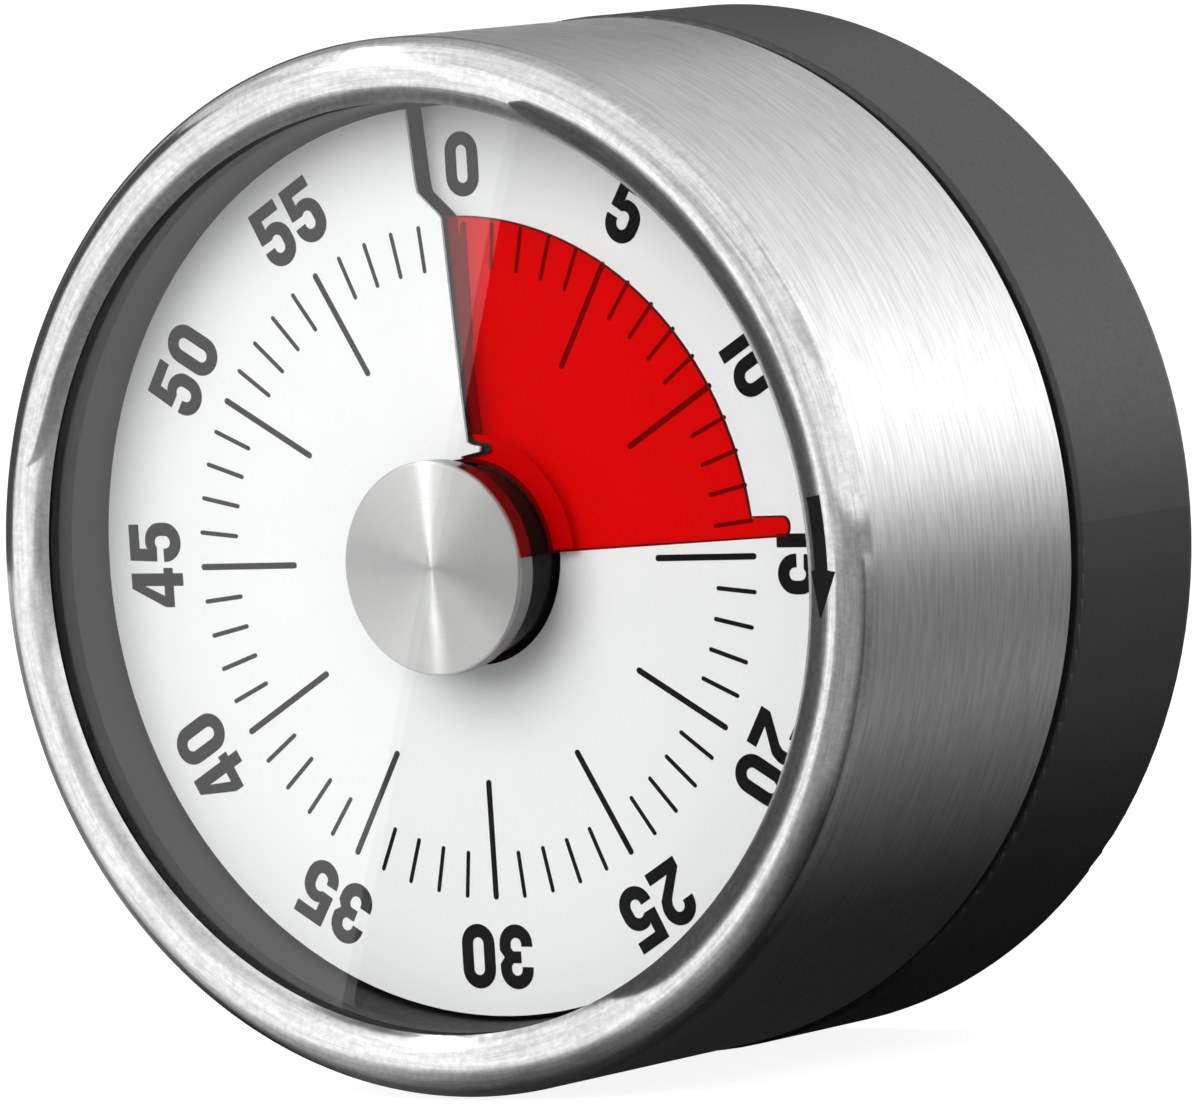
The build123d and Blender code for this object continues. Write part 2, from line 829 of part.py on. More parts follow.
def gear_points(teeth, module, addendum, dedendum, place, phase):
    """The outline of an involute gear: six points a tooth, worked out from the involute."""
    pitch_radius = module * teeth / 2
    base_radius = pitch_radius * cos(radians(pressure_angle))
    tip_radius = pitch_radius + addendum * module
    root_radius = pitch_radius - dedendum * module
    half_pitch = (pi / 2 - tooth_thinning) * module / 2 / pitch_radius
    pitch_roll = tan(radians(pressure_angle)) - radians(pressure_angle)
    tip_slope = acos(base_radius / tip_radius)
    half_tip = half_pitch + pitch_roll - (tan(tip_slope) - tip_slope)
    low_radius = max(base_radius, root_radius)
    low_slope = acos(base_radius / low_radius)
    half_low = half_pitch + pitch_roll - (tan(low_slope) - low_slope)
    flank = [(root_radius, half_low), (pitch_radius, half_pitch), (tip_radius, half_tip)]
    points = []
    for tooth in range(teeth):
        middle = radians(phase) - tooth * 2 * pi / teeth
        for radius, half in flank:
            points.append((radius, middle + half))
        for radius, half in reversed(flank):
            points.append((radius, middle - half))
    return [(place[0] + r * cos(a), place[1] + r * sin(a)) for r, a in points]


def meshed_phase(phase, teeth, place, other_teeth, other_place):
    """The phase that sets another gear's teeth in the gaps of this one."""
    direction = degrees(atan_of(place, other_place))
    share = ((direction - phase) * teeth / 360) % 1
    return direction + 180 - (0.5 - share) * 360 / other_teeth


def atan_of(place, other_place):
    """The direction from one point to another, in radians, anticlockwise from x."""
    run = other_place[0] - place[0]
    climb = other_place[1] - place[1]
    angle = acos(run / hypot(run, climb))
    return angle if climb >= 0 else -angle


def windows(place, radius, hole_radius, count):
    """Round windows that lighten a wheel."""
    with Locations(place):
        with PolarLocations(radius, count):
            Circle(hole_radius, mode=Mode.SUBTRACT)


# ---- main wheel, free on the arbor but gripped by the clutch spring ----

main_phase = 0.0
with BuildPart() as main_wheel:
    with BuildSketch(front_plane(main_wheel_rear)):
        with BuildLine():
            Polyline(
                *gear_points(
                    main_teeth, main_module, wheel_addendum, wheel_dedendum, (0, 0), main_phase
                ),
                close=True,
            )
        make_face()
        Circle(arbor_radius + pivot_clearance, mode=Mode.SUBTRACT)
        windows((0, 0), main_window_circle, main_window_radius, main_windows)
        with Locations(clock(stop_circle, stop_angle + run_margin + shown_angle)):
            Circle(stop_pin_radius + fit_clearance, mode=Mode.SUBTRACT)
    extrude(amount=main_wheel_thickness)
main_wheel.part.label = "main_wheel"
export_step(main_wheel.part, "parts/main_wheel.step")

main_wheel_front = main_wheel_rear + main_wheel_thickness
with BuildPart() as arbor_collar:
    with BuildSketch(front_plane(main_wheel_rear - collar_thickness)):
        Circle(collar_radius)
        Circle(arbor_radius + fit_clearance, mode=Mode.SUBTRACT)
    extrude(amount=collar_thickness)
arbor_collar.part.label = "arbor_collar"
export_step(arbor_collar.part, "parts/arbor_collar.step")

with BuildPart() as clutch_spring:
    with BuildSketch(front_plane(main_wheel_front)):
        with PolarLocations(0, clutch_arms):
            with Locations((clutch_radius / 2, 0)):
                Rectangle(clutch_radius, clutch_arm_width)
        Circle(collar_radius)
        Circle(arbor_radius + fit_clearance, mode=Mode.SUBTRACT)
    extrude(amount=clutch_thickness)
clutch_spring.part.label = "clutch_spring"
export_step(clutch_spring.part, "parts/clutch_spring.step")

with BuildPart() as arbor_circlip:
    with BuildSketch(front_plane(main_wheel_front + clutch_thickness)):
        Circle(circlip_radius)
        Circle(arbor_radius + fit_clearance, mode=Mode.SUBTRACT)
        with Locations((0, circlip_radius)):
            Rectangle(circlip_mouth, 2 * (circlip_radius - arbor_flat), mode=Mode.SUBTRACT)
    extrude(amount=circlip_thickness)
arbor_circlip.part.label = "arbor_circlip"
export_step(arbor_circlip.part, "parts/arbor_circlip.step")

# ---- stop pin on the main wheel, and the stop post on the front plate ----

stop_pin_front = (main_wheel_front + front_plate_rear + stop_overlap) / 2
stop_post_rear = stop_pin_front - stop_overlap
with BuildPart() as stop_pin:
    with BuildSketch(front_plane(main_wheel_rear)):
        with Locations(clock(stop_circle, stop_angle + run_margin + shown_angle)):
            Circle(stop_pin_radius)
    extrude(amount=stop_pin_front - main_wheel_rear)
stop_pin.part.label = "stop_pin"
export_step(stop_pin.part, "parts/stop_pin.step")

with BuildPart() as stop_post:
    with BuildSketch(front_plane(stop_post_rear)):
        with Locations(stop_place):
            Circle(stop_pin_radius)
    extrude(amount=front_plate_front - stop_post_rear)
stop_post.part.label = "stop_post"
export_step(stop_post.part, "parts/stop_post.step")


def spiral(place, inner, step, half_turns):
    """A spiral line of half circles, each larger than the last."""
    for turn in range(half_turns):
        radius = inner + turn * step / 2
        middle_x = place[0] + (0 if turn % 2 == 0 else -step / 2)
        start = 0 if turn % 2 == 0 else 180
        CenterArc((middle_x, place[1]), radius, start, 180)


# ---- mainspring, coiled round the arbor and held by a post at its outer end ----

with BuildPart() as mainspring:
    with BuildSketch(front_plane(back_plate_front + spring_lift)):
        with BuildLine():
            spiral((0, 0), spring_inner, spring_step, 2 * spring_turns)
        trace(line_width=spring_strip)
    extrude(amount=spring_width)
mainspring.part.label = "mainspring"
export_step(mainspring.part, "parts/mainspring.step")

with BuildPart() as spring_post:
    with BuildSketch(front_plane(back_plate_rear)):
        with Locations(spring_post_place):
            Circle(spring_post_radius)
    extrude(amount=plate_thickness + spring_lift + spring_width)
spring_post.part.label = "spring_post"
export_step(spring_post.part, "parts/spring_post.step")


def staff(name, place, wheel_rear, wheel_depth, pinion_rear, pinion_depth, module, phase):
    """A staff with its pinion cut on it: pivots at both ends, and a seat for the wheel."""
    seat = pivot_radius + staff_shoulder
    with BuildPart() as shaft:
        with BuildSketch(front_plane(back_plate_rear)):
            with Locations(place):
                Circle(pivot_radius)
        extrude(amount=front_plate_front - back_plate_rear)
        with BuildSketch(front_plane(wheel_rear)):
            with Locations(place):
                Circle(seat)
        extrude(amount=pinion_rear - wheel_rear)
        with BuildSketch(front_plane(pinion_rear)):
            with BuildLine():
                Polyline(
                    *gear_points(
                        pinion_teeth, module, pinion_addendum, pinion_dedendum, place, phase
                    ),
                    close=True,
                )
            make_face()
        extrude(amount=pinion_depth)
    shaft.part.label = name
    export_step(shaft.part, "parts/" + name + ".step")
    return seat


def train_wheel(name, place, rear, module, phase, seat):
    """A 60-tooth wheel pressed on its staff."""
    pitch_radius = module * wheel_teeth / 2
    with BuildPart() as wheel:
        with BuildSketch(front_plane(rear)):
            with BuildLine():
                Polyline(
                    *gear_points(
                        wheel_teeth, module, wheel_addendum, wheel_dedendum, place, phase
                    ),
                    close=True,
                )
            make_face()
            with Locations(place):
                Circle(seat + fit_clearance, mode=Mode.SUBTRACT)
            window_circle = window_circle_share * pitch_radius
            windows(place, window_circle, window_size_share * pitch_radius, train_windows)
        extrude(amount=wheel_thickness)
    wheel.part.label = name
    export_step(wheel.part, "parts/" + name + ".step")


# ---- second, third and escape staffs with their wheels ----

second_phase = meshed_phase(main_phase, main_teeth, (0, 0), pinion_teeth, second_place)
third_phase = meshed_phase(second_phase, wheel_teeth, second_place, pinion_teeth, third_place)
escape_phase = meshed_phase(third_phase, wheel_teeth, third_place, pinion_teeth, escape_place)
second_wheel_rear = main_wheel_rear - second_wheel_drop
third_wheel_rear = second_wheel_rear - third_wheel_drop
escape_wheel_rear = third_wheel_rear - escape_wheel_drop

second_pinion_rear = main_wheel_rear - pinion_margin
second_seat = staff(
    "second_staff", second_place, second_wheel_rear, wheel_thickness, second_pinion_rear,
    main_wheel_thickness + 2 * pinion_margin, main_module, second_phase,
)
train_wheel(
    "second_wheel", second_place, second_wheel_rear, second_module, second_phase, second_seat
)
third_pinion_rear = second_wheel_rear - pinion_margin
third_seat = staff(
    "third_staff", third_place, third_wheel_rear, wheel_thickness, third_pinion_rear,
    wheel_thickness + 2 * pinion_margin, second_module, third_phase,
)
train_wheel("third_wheel", third_place, third_wheel_rear, third_module, third_phase, third_seat)
escape_pinion_rear = third_wheel_rear - pinion_margin
escape_seat = staff(
    "escape_staff", escape_place, escape_wheel_rear, wheel_thickness, escape_pinion_rear,
    wheel_thickness + 2 * pinion_margin, third_module, escape_phase,
)

with BuildPart() as escape_wheel:
    with BuildSketch(front_plane(escape_wheel_rear)):
        tooth_step = 2 * pi / escape_teeth
        rim_points = []
        for tooth in range(escape_teeth):
            tip = tooth * tooth_step
            root = tip + tooth_step * escape_back_share
            next_root = tip + tooth_step * escape_root_share
            rim_points.append((escape_radius, tip))
            rim_points.append((escape_radius - escape_tooth, root))
            rim_points.append((escape_radius - escape_tooth, next_root))
        with BuildLine():
            Polyline(
                *[
                    (escape_place[0] + r * cos(a), escape_place[1] + r * sin(a))
                    for r, a in rim_points
                ],
                close=True,
            )
        make_face()
        with Locations(escape_place):
            Circle(escape_seat + fit_clearance, mode=Mode.SUBTRACT)
        windows(escape_place, escape_window_circle, escape_window_radius, train_windows)
    extrude(amount=wheel_thickness)
escape_wheel.part.label = "escape_wheel"
export_step(escape_wheel.part, "parts/escape_wheel.step")

# ---- pallet lever on its staff, with two pins outside the escape wheel's teeth ----

pallet_rear = escape_wheel_rear + wheel_thickness + pallet_lift
pin_circle = escape_radius + pallet_pin_gap + pallet_pin_radius
to_pallet = degrees(atan_of(escape_place, pallet_place))
pin_places = [
    (
        escape_place[0] + pin_circle * cos(radians(to_pallet + side * pallet_pin_spread)),
        escape_place[1] + pin_circle * sin(radians(to_pallet + side * pallet_pin_spread)),
    )
    for side in (-1, 1)
]
to_balance = atan_of(pallet_place, balance_place)
lever_reach = balance_distance - roller_radius - lever_tip_gap - lever_tip_radius
lever_end = (
    pallet_place[0] + lever_reach * cos(to_balance),
    pallet_place[1] + lever_reach * sin(to_balance),
)
pin_wall_radius = pallet_pin_radius + pallet_pin_wall
lever_ends = [
    (pin_places[0], pin_wall_radius),
    (pin_places[1], pin_wall_radius),
    (lever_end, lever_tip_radius),
]
with BuildPart() as pallet_lever:
    for end, end_radius in lever_ends:
        with BuildSketch(front_plane(pallet_rear)):
            with Locations(pallet_place):
                Circle(pivot_radius + pallet_boss)
            with Locations(end):
                Circle(end_radius)
            make_hull()
        extrude(amount=wheel_thickness)
    with BuildSketch(front_plane(pallet_rear)):
        with Locations(*pin_places):
            Circle(pallet_pin_radius)
    extrude(amount=-(wheel_thickness + pallet_lift))
    with BuildSketch(front_plane(pallet_rear)):
        with Locations(pallet_place):
            Circle(pivot_radius + fit_clearance)
    extrude(amount=wheel_thickness, mode=Mode.SUBTRACT)
pallet_lever.part.label = "pallet_lever"
export_step(pallet_lever.part, "parts/pallet_lever.step")

with BuildPart() as pallet_staff:
    with BuildSketch(front_plane(back_plate_rear)):
        with Locations(pallet_place):
            Circle(pivot_radius)
    extrude(amount=front_plate_front - back_plate_rear)
pallet_staff.part.label = "pallet_staff"
export_step(pallet_staff.part, "parts/pallet_staff.step")

# ---- balance wheel on its staff, with the hairspring in front ----

balance_rear = pallet_rear + wheel_thickness + balance_lift
with BuildPart() as balance_wheel:
    with BuildSketch(front_plane(balance_rear)):
        with Locations(balance_place):
            Circle(balance_radius)
            Circle(balance_radius - balance_rim, mode=Mode.SUBTRACT)
            Rectangle(2 * balance_radius - balance_rim, balance_spoke)
            Circle(pivot_radius + balance_boss)
            Circle(pivot_radius + fit_clearance, mode=Mode.SUBTRACT)
    extrude(amount=balance_thickness)
balance_wheel.part.label = "balance_wheel"
export_step(balance_wheel.part, "parts/balance_wheel.step")

with BuildPart() as balance_staff:
    with BuildSketch(front_plane(back_plate_rear)):
        with Locations(balance_place):
            Circle(pivot_radius)
    extrude(amount=front_plate_front - back_plate_rear)
    with BuildSketch(front_plane(pallet_rear)):
        with Locations(balance_place):
            Circle(roller_radius)
    extrude(amount=wheel_thickness)
balance_staff.part.label = "balance_staff"
export_step(balance_staff.part, "parts/balance_staff.step")

hairspring_inner = pivot_radius + hairspring_gap
hairspring_rear = balance_rear + balance_thickness + hairspring_lift
with BuildPart() as hairspring:
    with BuildSketch(front_plane(hairspring_rear)):
        with BuildLine():
            spiral(balance_place, hairspring_inner, hairspring_step, 2 * hairspring_turns)
        trace(line_width=hairspring_strip)
    extrude(amount=hairspring_depth)
hairspring.part.label = "hairspring"
export_step(hairspring.part, "parts/hairspring.step")

hairspring_outer = hairspring_inner + (hairspring_turns - 0.5) * hairspring_step
stud_offset = hairspring_outer + hairspring_strip / 2 + hairspring_step / 2 + stud_radius
with BuildPart() as hairspring_stud:
    with BuildSketch(front_plane(hairspring_rear)):
        with Locations((balance_place[0] - stud_offset, balance_place[1])):
            Circle(stud_radius)
    extrude(amount=front_plate_rear - hairspring_rear)
hairspring_stud.part.label = "hairspring_stud"
export_step(hairspring_stud.part, "parts/hairspring_stud.step")

# ---- bell: a spun steel dome that opens to the rear, on a post with a screw ----

post_front = bell_front - bell_sheet
with BuildPart() as bell:
    with BuildSketch(Plane.XY):
        with BuildLine():
            hole = bell_screw_radius + screw_hole_gap
            crown = Line((hole, -bell_front), (bell_radius - bell_bulge, -bell_front))
            skirt_top = (bell_radius, bell_bulge - bell_front)
            bulge = RadiusArc(crown @ 1, skirt_top, -bell_bulge)
            skirt = Line(bulge @ 1, (bell_radius, -bell_rear))
            rim = Line(skirt @ 1, (bell_radius - bell_sheet, -bell_rear))
            inner_skirt = Line(rim @ 1, (bell_radius - bell_sheet, bell_bulge - bell_front))
            inner_bulge = RadiusArc(
                inner_skirt @ 1, (bell_radius - bell_bulge, bell_sheet - bell_front),
                bell_bulge - bell_sheet,
            )
            inner_crown = Line(inner_bulge @ 1, (hole, bell_sheet - bell_front))
            Line(inner_crown @ 1, crown @ 0)
        make_face()
    revolve(axis=Axis.Y)
bell.part.label = "bell"
export_step(bell.part, "parts/bell.step")

with BuildPart() as bell_post:
    with BuildSketch(front_plane(magnet_cup_front)):
        Circle(bell_post_radius)
        Circle(bell_screw_radius + fit_clearance, mode=Mode.SUBTRACT)
    extrude(amount=post_front - magnet_cup_front)
bell_post.part.label = "bell_post"
export_step(bell_post.part, "parts/bell_post.step")

with BuildPart() as bell_screw:
    with BuildSketch(front_plane(bell_front - bell_screw_grip)):
        Circle(bell_screw_radius)
    extrude(amount=bell_screw_grip)
    with BuildSketch(front_plane(bell_front)):
        Circle(bell_head_radius)
    extrude(amount=bell_head_height)
    with BuildSketch(front_plane(bell_front + bell_head_height)):
        Rectangle(3 * bell_head_radius, screw_slot_width)
    extrude(amount=-screw_slot_depth, mode=Mode.SUBTRACT)
bell_screw.part.label = "bell_screw"
export_step(bell_screw.part, "parts/bell_screw.step")

# ---- hammer: a shaft through the back plate, an arm behind it and a striking head ----

head_circle = bell_radius + hammer_gap + hammer_head_radius
head_turn = arc_to(hammer_circle, head_circle, hammer_reach)
head_place = clock(head_circle, hammer_angle + head_turn)
with BuildPart() as hammer_staff:
    with BuildSketch(front_plane(hammer_arm_rear)):
        with Locations(hammer_place):
            Circle(hammer_shaft)
    extrude(amount=back_plate_front - hammer_arm_rear)
    with BuildSketch(front_plane(back_plate_front)):
        with Locations(hammer_place):
            Circle(hammer_collar_radius)
    extrude(amount=hammer_collar_height)
hammer_staff.part.label = "hammer_staff"
export_step(hammer_staff.part, "parts/hammer_staff.step")

with BuildPart() as hammer_arm:
    with BuildSketch(front_plane(hammer_arm_rear)):
        with Locations(hammer_place):
            Circle(hammer_boss_radius)
        with Locations(head_place):
            Circle(hammer_tip_radius)
        make_hull()
        with Locations(hammer_place):
            Circle(hammer_shaft + fit_clearance, mode=Mode.SUBTRACT)
    extrude(amount=hammer_arm_thickness)
hammer_arm.part.label = "hammer_arm"
export_step(hammer_arm.part, "parts/hammer_arm.step")

with BuildPart() as hammer_head:
    with BuildSketch(front_plane(hammer_arm_rear + hammer_arm_thickness)):
        with Locations(head_place):
            Circle(hammer_head_radius)
    extrude(amount=hammer_head_length)
hammer_head.part.label = "hammer_head"
export_step(hammer_head.part, "parts/hammer_head.step")

print("second wheel at", [round(value, 4) for value in second_place])
print("third wheel at", [round(value, 4) for value in third_place])
print("escape wheel at", [round(value, 4) for value in escape_place])
print("pallet lever at", [round(value, 4) for value in pallet_place])
print("balance at", [round(value, 4) for value in balance_place])
print("hammer at", [round(value, 4) for value in hammer_place])
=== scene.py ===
# %% [markdown]
# # A wind-up countdown timer
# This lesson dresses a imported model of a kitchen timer: a brushed steel drum with a clear lens,
# a printed dial, and a red disc that shows the minutes left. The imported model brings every
# solid at its real size. Here they get their finish, and the pieces that a finish alone can't
# make, such as the print and the steel drum's soft front edge, are made as meshes.

from math import atan2, cos, degrees, hypot, pi, radians, sin

import bmesh
import bpy
from mathutils import Matrix, Vector
from mathutils.bvhtree import BVHTree
from mathutils.geometry import tessellate_polygon


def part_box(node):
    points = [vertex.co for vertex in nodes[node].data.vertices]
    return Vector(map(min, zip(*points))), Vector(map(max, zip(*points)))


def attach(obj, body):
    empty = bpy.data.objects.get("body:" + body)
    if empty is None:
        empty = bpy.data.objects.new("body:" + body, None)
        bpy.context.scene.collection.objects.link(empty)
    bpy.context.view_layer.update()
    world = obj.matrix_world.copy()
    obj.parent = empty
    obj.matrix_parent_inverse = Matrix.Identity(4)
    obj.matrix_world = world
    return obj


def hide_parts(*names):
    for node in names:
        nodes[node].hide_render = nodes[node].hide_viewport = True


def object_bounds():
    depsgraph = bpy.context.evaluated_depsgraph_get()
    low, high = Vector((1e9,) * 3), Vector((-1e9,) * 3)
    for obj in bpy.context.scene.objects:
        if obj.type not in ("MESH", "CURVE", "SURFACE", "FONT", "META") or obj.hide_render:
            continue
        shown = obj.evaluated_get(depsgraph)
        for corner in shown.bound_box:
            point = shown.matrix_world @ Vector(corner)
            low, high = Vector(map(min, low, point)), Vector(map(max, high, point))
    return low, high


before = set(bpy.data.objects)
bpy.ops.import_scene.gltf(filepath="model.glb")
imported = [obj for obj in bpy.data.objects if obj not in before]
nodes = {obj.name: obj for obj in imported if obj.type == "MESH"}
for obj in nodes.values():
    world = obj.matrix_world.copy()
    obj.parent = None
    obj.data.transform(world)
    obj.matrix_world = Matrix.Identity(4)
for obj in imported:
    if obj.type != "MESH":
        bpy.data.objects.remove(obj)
cad_low, cad_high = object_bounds()
MM = 0.001  # a millimetre in Blender's metres

# %% [markdown]
# ## Meshes from a few helpers
# Almost everything on a timer is turned, stamped or printed. A turned piece is a profile swept
# round the axis. A printed mark is a flat outline with a little thickness. Both could come from
# modifiers, such as Screw and Solidify, but plain mesh code keeps every face where we want it
# and leaves nothing to apply later.

# %% Mesh helpers
SHARP_FOLD = radians(35)


def mesh_piece(name, verts, faces, body, slot, material):
    """A mesh object that rides on a body and takes its finish; the slot argument is not used."""
    mesh = bpy.data.meshes.new(name)
    mesh.from_pydata(verts, [], faces)
    work = bmesh.new()
    work.from_mesh(mesh)
    bmesh.ops.recalc_face_normals(work, faces=work.faces)
    work.to_mesh(mesh)
    work.free()
    mesh.shade_smooth()
    mesh.set_sharp_from_angle(angle=SHARP_FOLD)
    mesh.materials.append(material)
    piece = bpy.data.objects.new(name, mesh)
    bpy.context.scene.collection.objects.link(piece)
    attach(piece, body)
    print(name, len(mesh.vertices), "points", len(mesh.polygons), "faces")
    return piece


def arc(centre_a, centre_b, radius, start, end, steps=12):
    """Points on an arc, from one angle to another in degrees."""
    turns = [radians(start + (end - start) * step / steps) for step in range(steps + 1)]
    return [(centre_a + radius * cos(t), centre_b + radius * sin(t)) for t in turns]


def turned(profile, segments):
    """Points and faces of a closed profile of (radius, height) turned round the axis."""
    verts = []
    for segment in range(segments):
        turn = 2 * pi * segment / segments
        for radius, height in profile:
            verts.append((radius * sin(turn) * MM, -height * MM, radius * cos(turn) * MM))
    count = len(profile)
    faces = []
    for segment in range(segments):
        here = segment * count
        there = (segment + 1) % segments * count
        for step in range(count):
            after = (step + 1) % count
            faces.append((here + step, here + after, there + after, there + step))
    return verts, faces


# %% [markdown]
# ## Node helpers
# A finish is built from nodes. Each helper below adds one small group of them to a material's
# tree: a noise that varies a value, a bump that roughens the surface. Writing them once keeps
# each finish short to read. The numbers that stay the same over the whole surface are typed
# straight into the shader's own sockets.

# %% Node helpers
def empty_material(name):
    """A material with an empty tree, and the socket that takes its surface."""
    material = bpy.data.materials.new(name)
    material.use_nodes = True
    tree = material.node_tree
    tree.nodes.clear()
    print("finish:", name)
    return material, tree, tree.nodes.new("ShaderNodeOutputMaterial").inputs["Surface"]


def new_finish(name):
    """A material with one principled shader."""
    material, tree, surface = empty_material(name)
    shader = tree.nodes.new("ShaderNodeBsdfPrincipled")
    tree.links.new(shader.outputs["BSDF"], surface)
    return material, tree, shader


def own_parts(tree):
    """The three coordinates of a place on the object, in metres."""
    place = tree.nodes.new("ShaderNodeTexCoord")
    parts = tree.nodes.new("ShaderNodeSeparateXYZ")
    tree.links.new(place.outputs["Object"], parts.inputs["Vector"])
    return parts.outputs


def own_space(tree, stretch=(1, 1, 1)):
    """Places on the object in millimetres, stretched along each axis."""
    place = tree.nodes.new("ShaderNodeTexCoord")
    scale = tree.nodes.new("ShaderNodeMapping")
    scale.inputs["Scale"].default_value = [factor / MM for factor in stretch]
    tree.links.new(place.outputs["Object"], scale.inputs["Vector"])
    return scale.outputs["Vector"]


def noise(tree, vector, scale, detail=3.0, roughness=0.55):
    """A grey noise from 0 to 1."""
    node = tree.nodes.new("ShaderNodeTexNoise")
    node.inputs["Scale"].default_value = scale
    node.inputs["Detail"].default_value = detail
    node.inputs["Roughness"].default_value = roughness
    tree.links.new(vector, node.inputs["Vector"])
    return node.outputs["Fac"]


def spread(tree, value, low, high, start=0.3, end=0.7):
    """A value remapped to run from low to high."""
    node = tree.nodes.new("ShaderNodeMapRange")
    node.inputs["From Min"].default_value = start
    node.inputs["From Max"].default_value = end
    node.inputs["To Min"].default_value = low
    node.inputs["To Max"].default_value = high
    tree.links.new(value, node.inputs["Value"])
    return node.outputs["Result"]


def two_tones(tree, value, dark, light, start=0.3, end=0.7):
    """A colour that runs from dark to light with a value."""
    node = tree.nodes.new("ShaderNodeValToRGB")
    node.color_ramp.elements[0].position = start
    node.color_ramp.elements[0].color = (*dark, 1)
    node.color_ramp.elements[1].position = end
    node.color_ramp.elements[1].color = (*light, 1)
    tree.links.new(value, node.inputs["Fac"])
    return node.outputs["Color"]


def bump(tree, shader, value, strength, depth):
    """A bump of a given depth in millimetres."""
    node = tree.nodes.new("ShaderNodeBump")
    node.inputs["Strength"].default_value = strength
    node.inputs["Distance"].default_value = depth * MM
    tree.links.new(value, node.inputs["Height"])
    tree.links.new(node.outputs["Normal"], shader.inputs["Normal"])


def feed(tree, socket, value):
    """Gives a socket its value, which is a number or another socket."""
    if isinstance(value, (int, float)):
        socket.default_value = value
    else:
        tree.links.new(value, socket)


def math(tree, operation, first, second):
    """One sum on two values, each a socket or a number."""
    node = tree.nodes.new("ShaderNodeMath")
    node.operation = operation
    feed(tree, node.inputs[0], first)
    feed(tree, node.inputs[1], second)
    return node.outputs["Value"]


def mixed(tree, share, first, second):
    """Two shaders mixed by the share of the second."""
    node = tree.nodes.new("ShaderNodeMixShader")
    feed(tree, node.inputs["Fac"], share)
    tree.links.new(first, node.inputs[1])
    tree.links.new(second, node.inputs[2])
    return node.outputs["Shader"]


def see_through(tree, colour=(1, 1, 1)):
    """A surface that lets light straight through, tinted by a colour."""
    node = tree.nodes.new("ShaderNodeBsdfTransparent")
    node.inputs["Color"].default_value = (*colour, 1)
    return node.outputs["BSDF"]


def tones(colour, amount):
    """A darker and a lighter version of a colour."""
    dark = [channel * (1 - amount) for channel in colour]
    light = [min(1.0, channel * (1 + amount)) for channel in colour]
    return dark, light


# %% [markdown]
# ## Brushed and turned steel
# The drum is brushed while it spins on a lathe, so its fine grooves run round the axis. Light
# spreads across grooves and stays sharp along them, which gives steel its long highlights. An
# anisotropic shader does this, with its tangent pointing round the axis. The grooves themselves
# come from a noise that is squeezed along the axis and stretched round it. Using the distance
# from the axis as one coordinate lets the same noise work on the side, the slope and a flat face.
# The drum's front is frosted in patches, and the cap's side is smoother than its face and darkened
# with painted shade, so both finishes also change with the distance from the rear.

# %% Groove helpers
def groove_space(tree, along, across):
    """Noise space for grooves round the axis: slow round it, fast across the grooves."""
    side, depth, up = own_parts(tree)
    square = math(tree, "ADD", math(tree, "MULTIPLY", side, side), math(tree, "MULTIPLY", up, up))
    reach = math(tree, "SQRT", square, 0)
    grooves = math(tree, "MULTIPLY", math(tree, "ADD", reach, depth), across / MM)
    joined = tree.nodes.new("ShaderNodeCombineXYZ")
    tree.links.new(math(tree, "MULTIPLY", side, along / MM), joined.inputs["X"])
    tree.links.new(grooves, joined.inputs["Y"])
    tree.links.new(math(tree, "MULTIPLY", up, along / MM), joined.inputs["Z"])
    return joined.outputs["Vector"]


def front_mask(tree, start, full):
    """1 on a front face and 0 on the side behind it, by the distance from the rear."""
    return spread(tree, own_parts(tree)["Y"], 1.0, 0.0, -full * MM, -start * MM)


def darkened(tree, colour, share):
    """A colour times a share from 0 to 1."""
    node = tree.nodes.new("ShaderNodeVectorMath")
    node.operation = "SCALE"
    tree.links.new(colour, node.inputs[0])
    tree.links.new(share, node.inputs["Scale"])
    return node.outputs["Vector"]


# %% [markdown]
# Both steels come from one recipe. What tells them apart is how long and fine the grooves are, how
# far they stretch a highlight, and what changes between the front and the side behind it.

# %% Steel finishes
DRUM_FRONT = (42.2, 43.4)
FRONT_SMOOTHER = -0.165
BROAD_ALONG = 1.6
BROAD_ACROSS = 0.36
STREAK_RANGE = (0.35, 0.62)
FROST_RANGE = (0.36, 0.62)
FROST_GRAIN = 1.9
GROOVE_GLOSS = 0.05
GROOVE_BUMP = 0.35
QUARTER_TURN = 0.25


